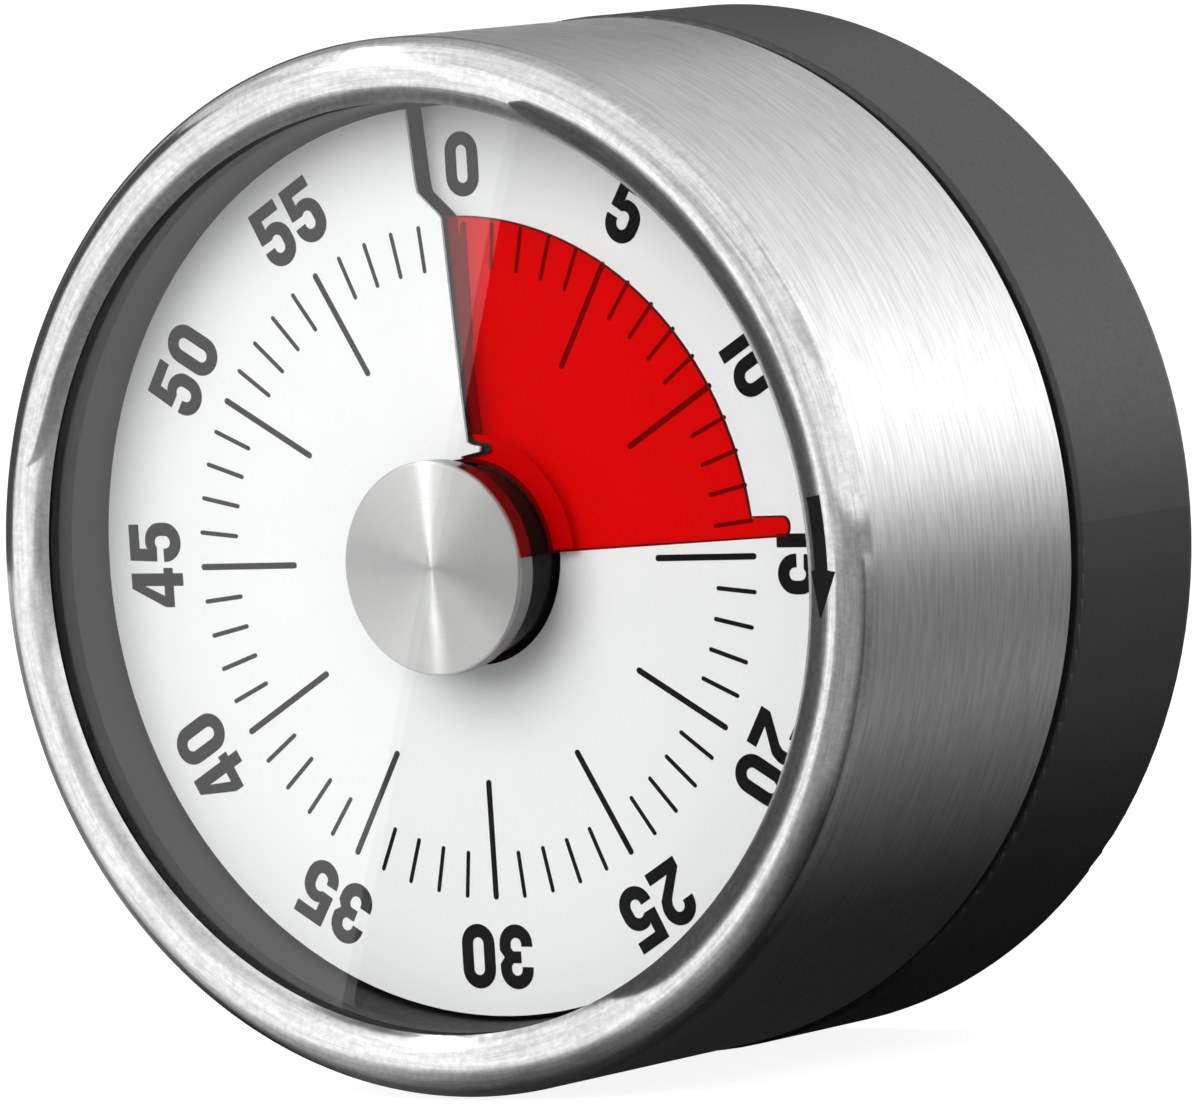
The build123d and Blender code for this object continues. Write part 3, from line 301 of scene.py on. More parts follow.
def steel(
    name, colour, roughness, stretch, along, across, tone, groove, streak=0.0, frost=0.0, side=None,
):
    """Steel with grooves round the axis, broader streaks, a frosted front or a painted shade on the
    side.
    """
    material, tree, shader = new_finish(name)
    fine = noise(tree, groove_space(tree, along, across), 1.0, detail=3.0, roughness=0.6)
    broad_space = groove_space(tree, BROAD_ALONG * along, BROAD_ACROSS * across)
    broad = noise(tree, broad_space, 1.0, detail=2.0)
    dark, light = tones(colour, tone)
    colour = two_tones(tree, fine, dark, light, 0.25, 0.75)
    if streak:
        colour = darkened(tree, colour, spread(tree, broad, 1 - streak, 1.0, *STREAK_RANGE))
    if frost:
        space = own_space(tree, (1.0, 0.6, 1.0))
        mottle = noise(tree, space, FROST_GRAIN, detail=5.0, roughness=0.7)
        front = front_mask(tree, *DRUM_FRONT)
        veil = math(tree, "MULTIPLY", front, spread(tree, mottle, frost, 0.0, *FROST_RANGE))
        colour = darkened(tree, colour, math(tree, "SUBTRACT", 1.0, veil))
        roughness = math(tree, "ADD", math(tree, "MULTIPLY", front, FRONT_SMOOTHER), roughness)
    if side:
        start, full, shade, polish = side
        front = front_mask(tree, start, full)
        # painted shade: the side's colour is darkened for how dark its polished steel looks
        colour = darkened(tree, colour, spread(tree, front, shade, 1.0, 0.0, 1.0))
        roughness = spread(tree, front, polish, roughness, 0.0, 1.0)
    tree.links.new(colour, shader.inputs["Base Color"])
    change = spread(tree, fine, GROOVE_GLOSS, -GROOVE_GLOSS)
    tree.links.new(math(tree, "ADD", change, roughness), shader.inputs["Roughness"])
    bump(tree, shader, math(tree, "ADD", fine, broad), GROOVE_BUMP, groove)
    shader.inputs["Metallic"].default_value = 1.0
    shader.inputs["Anisotropic"].default_value = stretch
    shader.inputs["Anisotropic Rotation"].default_value = QUARTER_TURN
    tangent = tree.nodes.new("ShaderNodeTangent")
    tangent.direction_type = "RADIAL"
    tangent.axis = "Y"
    tree.links.new(tangent.outputs["Tangent"], shader.inputs["Tangent"])
    return material


brushed_steel = steel(
    "brushed_steel", (0.62, 0.62, 0.62), roughness=0.30, stretch=0.72,
    along=0.16, across=9.0, tone=0.10, groove=0.005, streak=0.18, frost=0.20,
)
# side: where the face starts and is full, then the painted shade and the roughness of the side
turned_steel = steel(
    "turned_steel", (0.55, 0.547, 0.54), roughness=0.42, stretch=1.0,
    along=0.01, across=12.0, tone=0.08, groove=0.0004, side=(42.45, 42.75, 0.32, 0.16),
)

# %% [markdown]
# ## The steel drum
# The drum is one sheet of steel drawn into a shell: a straight side, a rounded corner, a flat
# ring, and a rim that curls in over the lens. A bevel modifier could round a plain ring, but the
# curl is what catches the light, so the profile is drawn with true arcs and turned round the
# axis in fine steps.

# %% Drum
DRUM_SEGMENTS = 288
SHEET = 0.6
CORNER = 2.4
LIP_WIDTH = 4.73
LIP_DROP = 0.7
EDGE_ROUND = 0.12
CORNER_STEPS = 16
CURL_STEPS = 14

drum_low, drum_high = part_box("steel_drum")
drum_radius = drum_high.x / MM
drum_front = -drum_low.y / MM
drum_rear = -drum_high.y / MM
lip_radius = drum_radius - LIP_WIDTH
flat_radius = drum_radius - CORNER

# the rim curls along one arc, from flat at the ring to twice the chord's slope at the lip
curl_run = flat_radius - lip_radius
chord_slope = atan2(LIP_DROP, curl_run)
curl_round = hypot(curl_run, LIP_DROP) / (2 * sin(chord_slope))
curl_end = degrees(2 * chord_slope)
curl_centre = drum_front - curl_round
corner_front = drum_front - CORNER
inner_corner = CORNER - SHEET
inner_curl = curl_round - SHEET

profile = [(drum_radius, drum_rear + EDGE_ROUND)]
profile += arc(flat_radius, corner_front, CORNER, 0, 90, CORNER_STEPS)
profile += arc(flat_radius, curl_centre, curl_round, 90, 90 + curl_end, CURL_STEPS)[1:]
profile += arc(flat_radius, curl_centre, inner_curl, 90 + curl_end, 90, CURL_STEPS)
profile += arc(flat_radius, corner_front, inner_corner, 90, 0)[1:]
profile += [(drum_radius - SHEET, drum_rear), (drum_radius - EDGE_ROUND, drum_rear)]
drum_shell = mesh_piece(
    "drum_shell", *turned(profile, DRUM_SEGMENTS), "setting_ring", "brushed_steel", brushed_steel
)
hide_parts("steel_drum")

# %% [markdown]
# ## The hub's cap
# The cap is a turned steel disc that sits right behind the lens. Two surfaces in one plane confuse
# a renderer, which can't tell which comes first, so the cap is turned again as a mesh whose face
# lies a hair behind the glass. Its edge is rounded instead of cut straight, which gives it a thin
# bright line.

# %% Hub cap
CAP_BEHIND_LENS = 0.03
CAP_EDGE = 0.22
CAP_EDGE_STEPS = 8
CAP_MIDDLE = 0.02
CAP_RINGS = (0.75, 0.5, 0.25)
CAP_SEGMENTS = 192

cap_low, cap_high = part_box("hub_cap")
cap_radius = cap_high.x / MM
cap_front = -cap_low.y / MM - CAP_BEHIND_LENS
cap_rear = -cap_high.y / MM
cap_flat = cap_radius - CAP_EDGE
cap_profile = [(CAP_MIDDLE, cap_rear), (cap_flat, cap_rear), (cap_radius, cap_rear + CAP_EDGE)]
cap_profile += arc(cap_flat, cap_front - CAP_EDGE, CAP_EDGE, 0, 90, CAP_EDGE_STEPS)
cap_profile += [(cap_radius * share, cap_front) for share in CAP_RINGS]
cap_profile += [(CAP_MIDDLE, cap_front)]
cap_disc = mesh_piece(
    "cap_disc", *turned(cap_profile, CAP_SEGMENTS), "setting_ring", "turned_steel", turned_steel
)
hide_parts("hub_cap")

# %% [markdown]
# ## Plastics, sheets and glass
# The base is moulded in black with a fine spark texture, the hub is glossy, and the tray and the
# walls inside are plain black. Each has a small change of tone and gloss from a noise, because
# a real moulding is never one flat colour.

# %% Plastic finishes
BROAD_GRAIN = 0.12


def moulded(name, colour, tone, roughness, gloss_change, grain, strength, depth, shine=0.5):
    """A moulded or sheet surface: a tone, a gloss and a grain that all vary a little."""
    material, tree, shader = new_finish(name)
    space = own_space(tree)
    broad = noise(tree, space, BROAD_GRAIN, detail=2.0)
    fine = noise(tree, space, grain, detail=3.0)
    dark, light = tones(colour, tone)
    tree.links.new(two_tones(tree, broad, dark, light), shader.inputs["Base Color"])
    tree.links.new(
        spread(tree, fine, roughness - gloss_change, roughness + gloss_change),
        shader.inputs["Roughness"],
    )
    bump(tree, shader, fine, strength, depth)
    shader.inputs["Specular IOR Level"].default_value = shine
    return material


# colour, tone, roughness, gloss change, grain, bump strength, bump depth in millimetres
black_casing = moulded(
    "black_casing", (0.019, 0.019, 0.020), 0.12, 0.42, 0.05, 3.2, 0.35, 0.02, shine=0.42
)
black_inner = moulded(
    "black_inner", (0.010, 0.010, 0.010), 0.15, 0.55, 0.06, 2.4, 0.25, 0.02, shine=0.2
)
gloss_black = moulded(
    "gloss_black", (0.006, 0.006, 0.006), 0.10, 0.12, 0.03, 1.6, 0.08, 0.01, shine=0.1
)
ferrite = moulded("ferrite", (0.035, 0.035, 0.037), 0.25, 0.62, 0.10, 5.0, 0.5, 0.03)
white_sheet = moulded("white_sheet", (0.88, 0.88, 0.88), 0.012, 0.38, 0.05, 1.4, 0.05, 0.01)
ink = moulded("ink", (0.006, 0.006, 0.006), 0.20, 0.55, 0.05, 4.0, 0.05, 0.005, shine=0.08)

# %% [markdown]
# ## Metals inside
# The movement is hidden, but it is part of the model and shows when the case is taken away. Brass
# plates carry fine straight grain, shafts are bright, springs are tempered dark, and the bell is
# nickel plated. One recipe makes them all: a metal with a stretched noise for its grain.

# %% Metal finishes
GRAIN_DULL = 0.06
GRAIN_BRIGHT = -0.04


def metal(name, colour, tone, roughness, grain, stretch=(1, 1, 1), strength=0.15, depth=0.006):
    """Metal with a grain that can run along one axis."""
    material, tree, shader = new_finish(name)
    fine = noise(tree, own_space(tree, stretch), grain, detail=4.0)
    dark, light = tones(colour, tone)
    tree.links.new(two_tones(tree, fine, dark, light), shader.inputs["Base Color"])
    gloss = spread(tree, fine, roughness + GRAIN_DULL, roughness + GRAIN_BRIGHT)
    tree.links.new(gloss, shader.inputs["Roughness"])
    bump(tree, shader, fine, strength, depth)
    shader.inputs["Metallic"].default_value = 1.0
    return material


LENGTHWISE = (1.0, 0.15, 0.15)
# colour, tone, roughness, grain
brass = metal("brass", (0.78, 0.55, 0.24), 0.12, 0.28, 4.0, LENGTHWISE)
shaft_steel = metal("shaft_steel", (0.58, 0.58, 0.57), 0.06, 0.16, 5.0)
spring_steel = metal("spring_steel", (0.16, 0.19, 0.27), 0.20, 0.30, 3.0)
screw_steel = metal("screw_steel", (0.50, 0.50, 0.50), 0.10, 0.24, 5.0)
bell_nickel = metal("bell_nickel", (0.66, 0.63, 0.57), 0.05, 0.12, 2.0)

# %% [markdown]
# ## A clear lens
# The lens is thin and flat. Real refraction would bend the dial by less than a line's width, and
# costs light and time. So the surface is a mix of two simple shaders: light goes straight
# through, and a small share is mirrored, which grows towards the edges as Fresnel's law says.

# %% Clear lens
FACE_ON_MIRROR = 0.04
EDGE_POWER = 5.0
LENS_TINT = (0.985, 0.99, 0.988)


def clear(name):
    """Glass or clear plastic that lets light straight through and mirrors a little."""
    material, tree, surface = empty_material(name)
    mirror = tree.nodes.new("ShaderNodeBsdfAnisotropic")
    mirror.distribution = "GGX"
    mirror.inputs["Roughness"].default_value = 0.0
    tint = noise(tree, own_space(tree), 0.4)
    clean = two_tones(tree, tint, (0.97, 0.975, 0.975), (1.0, 1.0, 1.0))
    tree.links.new(clean, mirror.inputs["Color"])
    facing = tree.nodes.new("ShaderNodeLayerWeight")
    facing.inputs["Blend"].default_value = 0.5
    grazing = math(tree, "POWER", facing.outputs["Facing"], EDGE_POWER)
    share = math(tree, "ADD", math(tree, "MULTIPLY", grazing, 1 - FACE_ON_MIRROR), FACE_ON_MIRROR)
    both = mixed(tree, share, see_through(tree, LENS_TINT), mirror.outputs["BSDF"])
    tree.links.new(both, surface)
    return material


clear_lens = clear("clear_lens")

# %% [markdown]
# ## The red sheet
# The disc is thin red plastic. It glows where the white dial lies under it, and the black lines of
# the dial show through as a darker red. A mix of a red film and a red surface gives that: light
# that passes the film returns red and a little dimmer. The film throws no coloured light on the
# paper beside it, where a real sheet this close to the dial gives hardly any.

# %% Red sheet
FILM_TONE = 0.04
FILM_GLOSS = (0.32, 0.42)
FILM_SHINE = 0.15


def film(name, colour, passed, share):
    """A thin coloured film: a share of the light is thrown back, the rest goes through."""
    material, tree, surface = empty_material(name)
    shader = tree.nodes.new("ShaderNodeBsdfPrincipled")
    space = own_space(tree)
    dark, light = tones(colour, FILM_TONE)
    base = two_tones(tree, noise(tree, space, 0.15), dark, light)
    tree.links.new(base, shader.inputs["Base Color"])
    gloss = spread(tree, noise(tree, space, 2.0), *FILM_GLOSS)
    tree.links.new(gloss, shader.inputs["Roughness"])
    shader.inputs["Specular IOR Level"].default_value = FILM_SHINE
    sheet = mixed(tree, share, see_through(tree, passed), shader.outputs["BSDF"])
    path = tree.nodes.new("ShaderNodeLightPath")
    stray = math(tree, "MAXIMUM", path.outputs["Is Shadow Ray"], path.outputs["Is Diffuse Ray"])
    tree.links.new(mixed(tree, stray, sheet, see_through(tree)), surface)
    return material


red_sheet = film("red_sheet", (0.78, 0.001, 0.001), (0.95, 0.004, 0.003), 0.12)

# %% [markdown]
# ## Dressing the solids
# Each solid has slots for its materials. They could be filled one by one, but a table of finishes
# and names, read by one loop, is quicker to check.

# %% Finishes for the solids
finishes = {
    black_casing: ["rear_housing"],
    black_inner: ["bearing_sleeve", "drum_liner", "dial_surround", "dial_pan"],
    gloss_black: ["hub_core"],
    ferrite: ["magnet"],
    clear_lens: ["lens"],
    white_sheet: ["dial"],
    red_sheet: ["red_disc"],
    brass: [
        "back_plate", "front_plate", "plate_pillars", "main_wheel", "arbor_collar", "second_wheel",
        "third_wheel", "escape_wheel", "pallet_lever", "balance_wheel", "hairspring_stud",
        "hammer_head",
    ],
    shaft_steel: [
        "arbor", "second_staff", "third_staff", "escape_staff", "pallet_staff", "balance_staff",
        "bell_post", "hammer_staff", "stop_pin", "stop_post", "spring_post",
    ],
    spring_steel: ["clutch_spring", "arbor_circlip", "mainspring", "hairspring", "hammer_arm"],
    screw_steel: [
        "case_screws", "pan_screws", "pillar_rear_screws", "pillar_front_screws", "plate_screws",
        "bell_screw",
    ],
    bell_nickel: ["bell"],
}
for finish, names in finishes.items():
    for name in names:
        for slot in nodes[name].material_slots:
            slot.material = finish
dressed = {name for names in finishes.values() for name in names}
print("left without a finish:", set(nodes) - dressed - {"steel_drum", "hub_cap"})

# %% [markdown]
# ## Printing on the dial
# The dial is a printed sheet that bends beside its slit, so a flat mark would sink into it or
# float. Each mark is an outline with a hair of ink thickness, and every point of it is dropped
# onto the dial with a ray. A decal would be quicker, but it would need a picture.

# %% Print helpers
INK_THICKNESS = 0.02


def surface_of(node):
    """A search tree of a solid's faces, to drop points onto it."""
    work = bmesh.new()
    work.from_mesh(nodes[node].data)
    tree = BVHTree.FromBMesh(work)
    work.free()
    return tree


RAY_REACH = 1.0
dial_surface = surface_of("dial")
ray_start = -cad_high.y - RAY_REACH


def on_dial(side, up):
    """The height of the dial's front, in millimetres, at a place on it."""
    hit = dial_surface.ray_cast(Vector((side * MM, ray_start, up * MM)), Vector((0, 1, 0)))
    return -hit[0].y / MM


print("dial height above the hub:", round(on_dial(0, 20), 3), "mm")


def loop_area(loop):
    """The signed area of an outline."""
    return sum(a[0] * b[1] - b[0] * a[1] for a, b in zip(loop, loop[1:] + loop[:1])) / 2


def print_mark(loops, place, verts, faces):
    """Adds one inked mark: its first outline is the shape, the others are holes in it."""
    loops = [
        loop if (loop_area(loop) > 0) == (index == 0) else loop[::-1]
        for index, loop in enumerate(loops)
    ]
    flat = [point for loop in loops for point in loop]
    first = len(verts)
    count = len(flat)
    for lift in (INK_THICKNESS, -INK_THICKNESS):
        verts.extend(place(u, v, lift) for u, v in flat)
    outlines = [[Vector((u, v, 0)) for u, v in loop] for loop in loops]
    for a, b, c in tessellate_polygon(outlines):
        faces.append((first + a, first + b, first + c))
        faces.append((first + count + c, first + count + b, first + count + a))
    start = first
    for loop in loops:
        size = len(loop)
        for step in range(size):
            after = (step + 1) % size
            faces.append((start + step, start + after, start + count + after, start + count + step))
        start += size


def placed_on_dial(turn, radius):
    """Turns a mark's own places into space: u runs clockwise, v outwards."""
    turn = radians(turn)

    def place(u, v, lift):
        side = (radius + v) * sin(turn) + u * cos(turn)
        up = (radius + v) * cos(turn) - u * sin(turn)
        return (side * MM, -(on_dial(side, up) + lift) * MM, up * MM)

    return place


# %% [markdown]
# ## Minute lines
# Sixty lines with rounded ends mark the minutes, and every fifth is longer and bolder. They are
# the same outline at two sizes, so one loop prints them all into a single piece.

# %% Minute lines
PRINT_TURN = 0.37
LINE_OUTER = 24.9
LONG_INNER = 16.05
SHORT_INNER = 21.4
LONG_WIDTH = 0.47
SHORT_WIDTH = 0.33
MINUTES = 60


def line_outline(length, width):
    """A line with rounded ends, along v from 0 to its length."""
    round_end = width / 2
    top = arc(0, length - round_end, round_end, 0, 180, 8)
    bottom = arc(0, round_end, round_end, 180, 360, 8)
    return top + bottom


line_verts, line_faces = [], []
for minute in range(MINUTES):
    bold = minute % 5 == 0
    inner = LONG_INNER if bold else SHORT_INNER
    width = LONG_WIDTH if bold else SHORT_WIDTH
    turn = minute * 360 / MINUTES + PRINT_TURN
    outline = line_outline(LINE_OUTER - inner, width)
    print_mark([outline], placed_on_dial(turn, inner), line_verts, line_faces)
mesh_piece("minute_lines", line_verts, line_faces, "base", "black_inner", ink)

# %% [markdown]
# ## Numerals
# The figures are tall, narrow and bold, so each is drawn as one outline on a small grid: straight
# stems and round bowls of one stroke width. A font object would be simpler, but its shapes are
# someone's design, and these few figures are quick to draw.

# %% Numeral outlines
FIGURE_WIDTH = 2.95
FIGURE_HEIGHT = 4.8
STROKE = 1.0
FIGURE_GAP = 0.45
BAR = 0.92
BOWL = FIGURE_WIDTH / 2
EYE = BOWL - STROKE
TOP_BOWL = FIGURE_HEIGHT - BOWL


def figure_zero():
    """A tall ring."""
    outer = arc(BOWL, TOP_BOWL, BOWL, 0, 180) + arc(BOWL, BOWL, BOWL, 180, 360)
    eye = arc(BOWL, TOP_BOWL, EYE, 0, 180) + arc(BOWL, BOWL, EYE, 180, 360)
    return [outer, eye]


def figure_one():
    """A stem with a short flag."""
    return [[
        (0.8, 0), (1.8, 0), (1.8, FIGURE_HEIGHT), (1.02, FIGURE_HEIGHT), (0.9, 4.35), (0.6, 4.05),
        (0, 3.9), (0, 3.2), (0.8, 3.2),
    ]]


def figure_two():
    """A bowl, a slanting stroke and a foot."""
    outer = arc(BOWL, TOP_BOWL, BOWL, 180, 0)
    right = [(FIGURE_WIDTH, 3.05), (2.72, 2.35), (1.2, BAR), (FIGURE_WIDTH, BAR), (FIGURE_WIDTH, 0)]
    left = [(0, 0), (0, 0.85), (1.75, 2.6), (BOWL + EYE, 3.0)]
    inner = arc(BOWL, TOP_BOWL, EYE, 0, 180)
    return [[(0, 3.15)] + outer + right + left + inner + [(STROKE, 3.15)]]


def figure_three():
    """Two bowls that meet at a waist."""
    outer = arc(BOWL, TOP_BOWL, BOWL, 180, 0)
    waist = [(FIGURE_WIDTH, 2.95), (2.55, 2.45), (FIGURE_WIDTH, 1.95)]
    lower = arc(BOWL, BOWL, BOWL, 0, -180)
    tail = [(0, 1.65), (STROKE, 1.65)]
    lower_eye = arc(BOWL, BOWL, EYE, 180, 360)
    bar = [(1.75, 2.0), (1.05, 2.0), (1.05, 2.88), (1.75, 2.88)]
    middle = [(BOWL + EYE, 1.75)] + bar + [(BOWL + EYE, 3.1)]
    upper_eye = arc(BOWL, TOP_BOWL, EYE, 0, 180)
    left = [(0, 3.15)] + outer + waist + lower + tail
    return [left + lower_eye + middle + upper_eye + [(STROKE, 3.15)]]


def figure_four():
    """A slanting stroke, a bar and a stem."""
    outer = [
        (1.4, FIGURE_HEIGHT), (2.55, FIGURE_HEIGHT), (2.55, 1.78), (FIGURE_WIDTH, 1.78),
        (FIGURE_WIDTH, 0.92), (2.55, 0.92), (2.55, 0), (1.6, 0), (1.6, 0.92), (0, 0.92), (0, 1.75),
    ]
    eye = [(1.6, 1.78), (1.6, 3.6), (0.85, 1.78)]
    return [outer, eye]


def figure_five():
    """A flag over a bowl."""
    flag = [(0.12, FIGURE_HEIGHT), (2.83, FIGURE_HEIGHT), (2.83, 3.88), (1.02, 3.88), (1.0, 3.02)]
    shoulder = arc(1.575, 1.95, 1.375, 112, 0)
    lower = arc(BOWL, BOWL, BOWL, 0, -180)
    tail = [(0, 1.65), (STROKE, 1.65)]
    lower_eye = arc(BOWL, BOWL, EYE, 180, 360)
    upper_eye = arc(BOWL, 1.95, EYE, 0, 140)
    return [flag + shoulder + lower + tail + lower_eye + upper_eye + [(0.04, 2.3)]]


figures = {
    "0": (figure_zero, FIGURE_WIDTH),
    "1": (figure_one, 1.8),
    "2": (figure_two, FIGURE_WIDTH),
    "3": (figure_three, FIGURE_WIDTH),
    "4": (figure_four, FIGURE_WIDTH),
    "5": (figure_five, FIGURE_WIDTH),
}
print("figures drawn:", ", ".join(figures))

# %% [markdown]
# Every fifth minute has its number, with its feet towards the hub. The figures of a number are
# set side by side and centred on its line, so numbers of one and two figures both sit right.

# %% Numerals round the dial
NUMERAL_INNER = 26.7
NUMERAL_TURN = 0.8

numeral_verts, numeral_faces = [], []
for minute in range(0, MINUTES, 5):
    text = str(minute)
    whole = sum(figures[digit][1] for digit in text) + FIGURE_GAP * (len(text) - 1)
    start = -whole / 2
    place = placed_on_dial(minute * 360 / MINUTES + NUMERAL_TURN, NUMERAL_INNER)
    for digit in text:
        draw, width = figures[digit]
        shifted = [[(u + start, v) for u, v in loop] for loop in draw()]
        print_mark(shifted, place, numeral_verts, numeral_faces)
        start += width + FIGURE_GAP
mesh_piece("numerals", numeral_verts, numeral_faces, "base", "black_inner", ink)

# %% [markdown]
# ## The turning arrow
# A black arrow on the rim shows which way to wind. The rim is curled, so the arrow can't be flat:
# its outline is measured along the curl one way and round the axis the other way, and laid on the
# surface.

# %% Turning arrow
ARROW_SHAFT = ((82.6, 34.93, 36.18), (91.1, 34.93, 36.18))
ARROW_HEAD = ((91.3, 34.45, 36.81), (96.6, 35.4, 35.5))
ARROW_STEPS = 20
ARROW_ROWS = 8


def rim_height(radius):
    """The height of the drum's front at a distance from the axis."""
    if radius < flat_radius:
        return curl_centre + (curl_round ** 2 - (flat_radius - radius) ** 2) ** 0.5
    return corner_front + (CORNER ** 2 - (radius - flat_radius) ** 2) ** 0.5


def rim_point(radius, turn, lift):
    """A point on the drum's front, lifted towards the viewer."""
    turn = radians(turn)
    height = rim_height(radius) + lift
    return (radius * sin(turn) * MM, -height * MM, radius * cos(turn) * MM)


def stations(start, end):
    """The arrow's cross lines between two of them, each a turn and two distances."""
    shares = [step / ARROW_STEPS for step in range(ARROW_STEPS + 1)]
    return [[a + (b - a) * share for a, b in zip(start, end)] for share in shares]


# %% [markdown]
# The outline's cross lines become a grid with a top and an underside. Faces join the two layers
# along both sides and at both ends, so the arrow is a closed sheet of ink.

# %% Arrow's mesh
cross_lines = stations(*ARROW_SHAFT) + stations(*ARROW_HEAD)
arrow_verts, arrow_faces = [], []
for lift in (INK_THICKNESS, -INK_THICKNESS):
    for turn, inner, outer in cross_lines:
        for row in range(ARROW_ROWS + 1):
            radius = inner + (outer - inner) * row / ARROW_ROWS
            arrow_verts.append(rim_point(radius, turn, lift))
rows = ARROW_ROWS + 1
layer = rows * len(cross_lines)
last = layer - rows
for first in range(0, last, rows):
    for a in range(first, first + ARROW_ROWS):
        arrow_faces.append((a, a + 1, a + rows + 1, a + rows))
        arrow_faces.append((a + layer, a + rows + layer, a + rows + 1 + layer, a + 1 + layer))
    for a in (first, first + ARROW_ROWS):
        arrow_faces.append((a, a + rows, a + rows + layer, a + layer))
for first in (0, last):
    for a in range(first, first + ARROW_ROWS):
        arrow_faces.append((a, a + 1, a + 1 + layer, a + layer))
mesh_piece("turning_arrow", arrow_verts, arrow_faces, "setting_ring", "black_inner", ink)

# %% [markdown]
# ## Edges of the two sheets
# Both thin sheets need their cut edges. Under the dial's lifted lip lies a narrow black strip,
# painted shade for the lip's shadow, that closes the gap down to the red disc. The red disc's own
# edge looks nearly black, because light that enters the sheet there has a long way to go through the
# red, and a thin dark strip along its rim paints that shade on. Each edge is a strip with a
# rectangular section, led along an outline. A curve with a bevel could do it too, but the strips
# have to follow the red disc's slow climb, so their points are worked out.

# %% Sheet edges
DIAL_HEIGHT = 37.5
DISC_RADIUS = 25.4
DISC_SHEET = 0.15
DISC_PITCH = 2.0
DISC_AT_SLIT = 0.25


def clock(radius, turn):
    """A place from its distance and its clock angle."""
    return (radius * sin(radians(turn)), radius * cos(radians(turn)))


def disc_front(turn):
    """The height of the red disc's front, which climbs with the angle from 12 o'clock."""
    return DIAL_HEIGHT + DISC_AT_SLIT + DISC_PITCH * turn / 360


def clock_angle(side, up):
    """The clock angle of a place, from -180 to 180."""
    return degrees(atan2(side, up))


def edge_strip(line, width, rear, front):
    """A closed strip along (side, up, turn) points, a width wide, between two lifts."""
    verts, faces = [], []
    last = len(line) - 1
    for index, (side, up, turn) in enumerate(line):
        before, after = line[max(0, index - 1)], line[min(last, index + 1)]
        run = Vector((after[0] - before[0], after[1] - before[1])).normalized()
        inwards = Vector((run.y, -run.x)) * width
        for share, lift in ((0, rear), (0, front), (1, front), (1, rear)):
            place = Vector((side, up)) + inwards * share
            verts.append((place.x * MM, -(disc_front(turn) + lift) * MM, place.y * MM))
    for index in range(last):
        for corner in range(4):
            near, far = 4 * index + corner, 4 * index + (corner + 1) % 4
            faces.append((near, far, far + 4, near + 4))
    faces.append((0, 1, 2, 3))
    faces.append(tuple(4 * last + corner for corner in (3, 2, 1, 0)))
    return verts, faces


print("the red disc climbs", DISC_PITCH, "mm in a turn")

# %% [markdown]
# The red disc's outline runs round its rim, out along the tab and back in along the straight
# leading edge. Most of the rim lies under the dial, out of sight, and comes out as time is set.

# %% Red disc's edge and its painted shade
SHOWN_TURN = 87.5
DISC_SWEEP = 350.0
DISC_INNER = 7.35
LEAD_INSET = 2.2
TAB_TIP = 28.6
TAB_WIDTH = 1.55
TAB_ROUND = 0.65
TAB_STEPS = 6
EDGE_WIDTH = 0.13
EDGE_PROUD = 0.015
RIM_STEP = 2.5
LEAD_STEPS = 12

# painted shade: a dark red film on a thin strip round the rim, for the dark line at the sheet's edge
red_edge_shade = film("red_edge_shade", (0.10, 0.0, 0.0), (0.25, 0.0, 0.0), 0.6)
edge_radius = DISC_RADIUS + EDGE_PROUD
tab_low = clock(TAB_TIP, SHOWN_TURN)
tab_top = tab_low[1] + TAB_WIDTH
rim_end = degrees(atan2((edge_radius ** 2 - tab_top ** 2) ** 0.5, tab_top))
rim_start = SHOWN_TURN - DISC_SWEEP
rim_steps = round((rim_end - rim_start) / RIM_STEP)
outline = []
for step in range(rim_steps + 1):
    turn = rim_start + (rim_end - rim_start) * step / rim_steps
    outline.append((*clock(edge_radius, turn), turn))
round_side = tab_low[0] - TAB_ROUND
tab_line = arc(round_side, tab_top - TAB_ROUND, TAB_ROUND, 90, 0, TAB_STEPS)
tab_line += arc(round_side, tab_low[1] + TAB_ROUND, TAB_ROUND, 0, -88, TAB_STEPS)
lead_start = Vector(tab_line[-1])
lead_end = Vector(clock(DISC_INNER, SHOWN_TURN - LEAD_INSET))
for step in range(1, LEAD_STEPS + 1):
    tab_line.append(tuple(lead_start.lerp(lead_end, step / LEAD_STEPS)))
outline += [(side, up, clock_angle(side, up)) for side, up in tab_line]
mesh_piece(
    "red_disc_edge_shade",
    *edge_strip(outline, EDGE_WIDTH, -DISC_SHEET - EDGE_PROUD, EDGE_PROUD),
    "time_disc", "red_sheet", red_edge_shade,
)

# %% [markdown]
# Round the hub the red sheet looks darker and solid, where the cap's shadow and the hub's black side
# show through it. That shade is painted on. It could be a second material on part of the disc, but
# the disc is one solid, so a thin ring of solid red lies right behind it.

# %% Painted shade round the hub
HUB_SHADE_OUTER = 9.4
HUB_SHADE_INNER = 7.62
HUB_SHADE_SHEET = 0.02
HUB_SHADE_GAP = EDGE_PROUD / 3

# painted shade: an opaque red ring for the darker red that the hub's shadow gives the sheet
shaded_red = moulded(
    "shaded_red", (0.70, 0.002, 0.002), 0.03, 0.40, 0.04, 2.0, 0.05, 0.01, shine=0.2
)
hub_shade_line = []
for step in range(rim_steps + 1):
    turn = rim_start + (SHOWN_TURN - LEAD_INSET - rim_start) * step / rim_steps
    hub_shade_line.append((*clock(HUB_SHADE_OUTER, turn), turn))
hub_shade_rear = -DISC_SHEET - HUB_SHADE_SHEET
mesh_piece(
    "red_disc_hub_shade",
    *edge_strip(hub_shade_line, HUB_SHADE_OUTER - HUB_SHADE_INNER, hub_shade_rear, -DISC_SHEET - HUB_SHADE_GAP),
    "time_disc", "red_sheet", shaded_red,
)
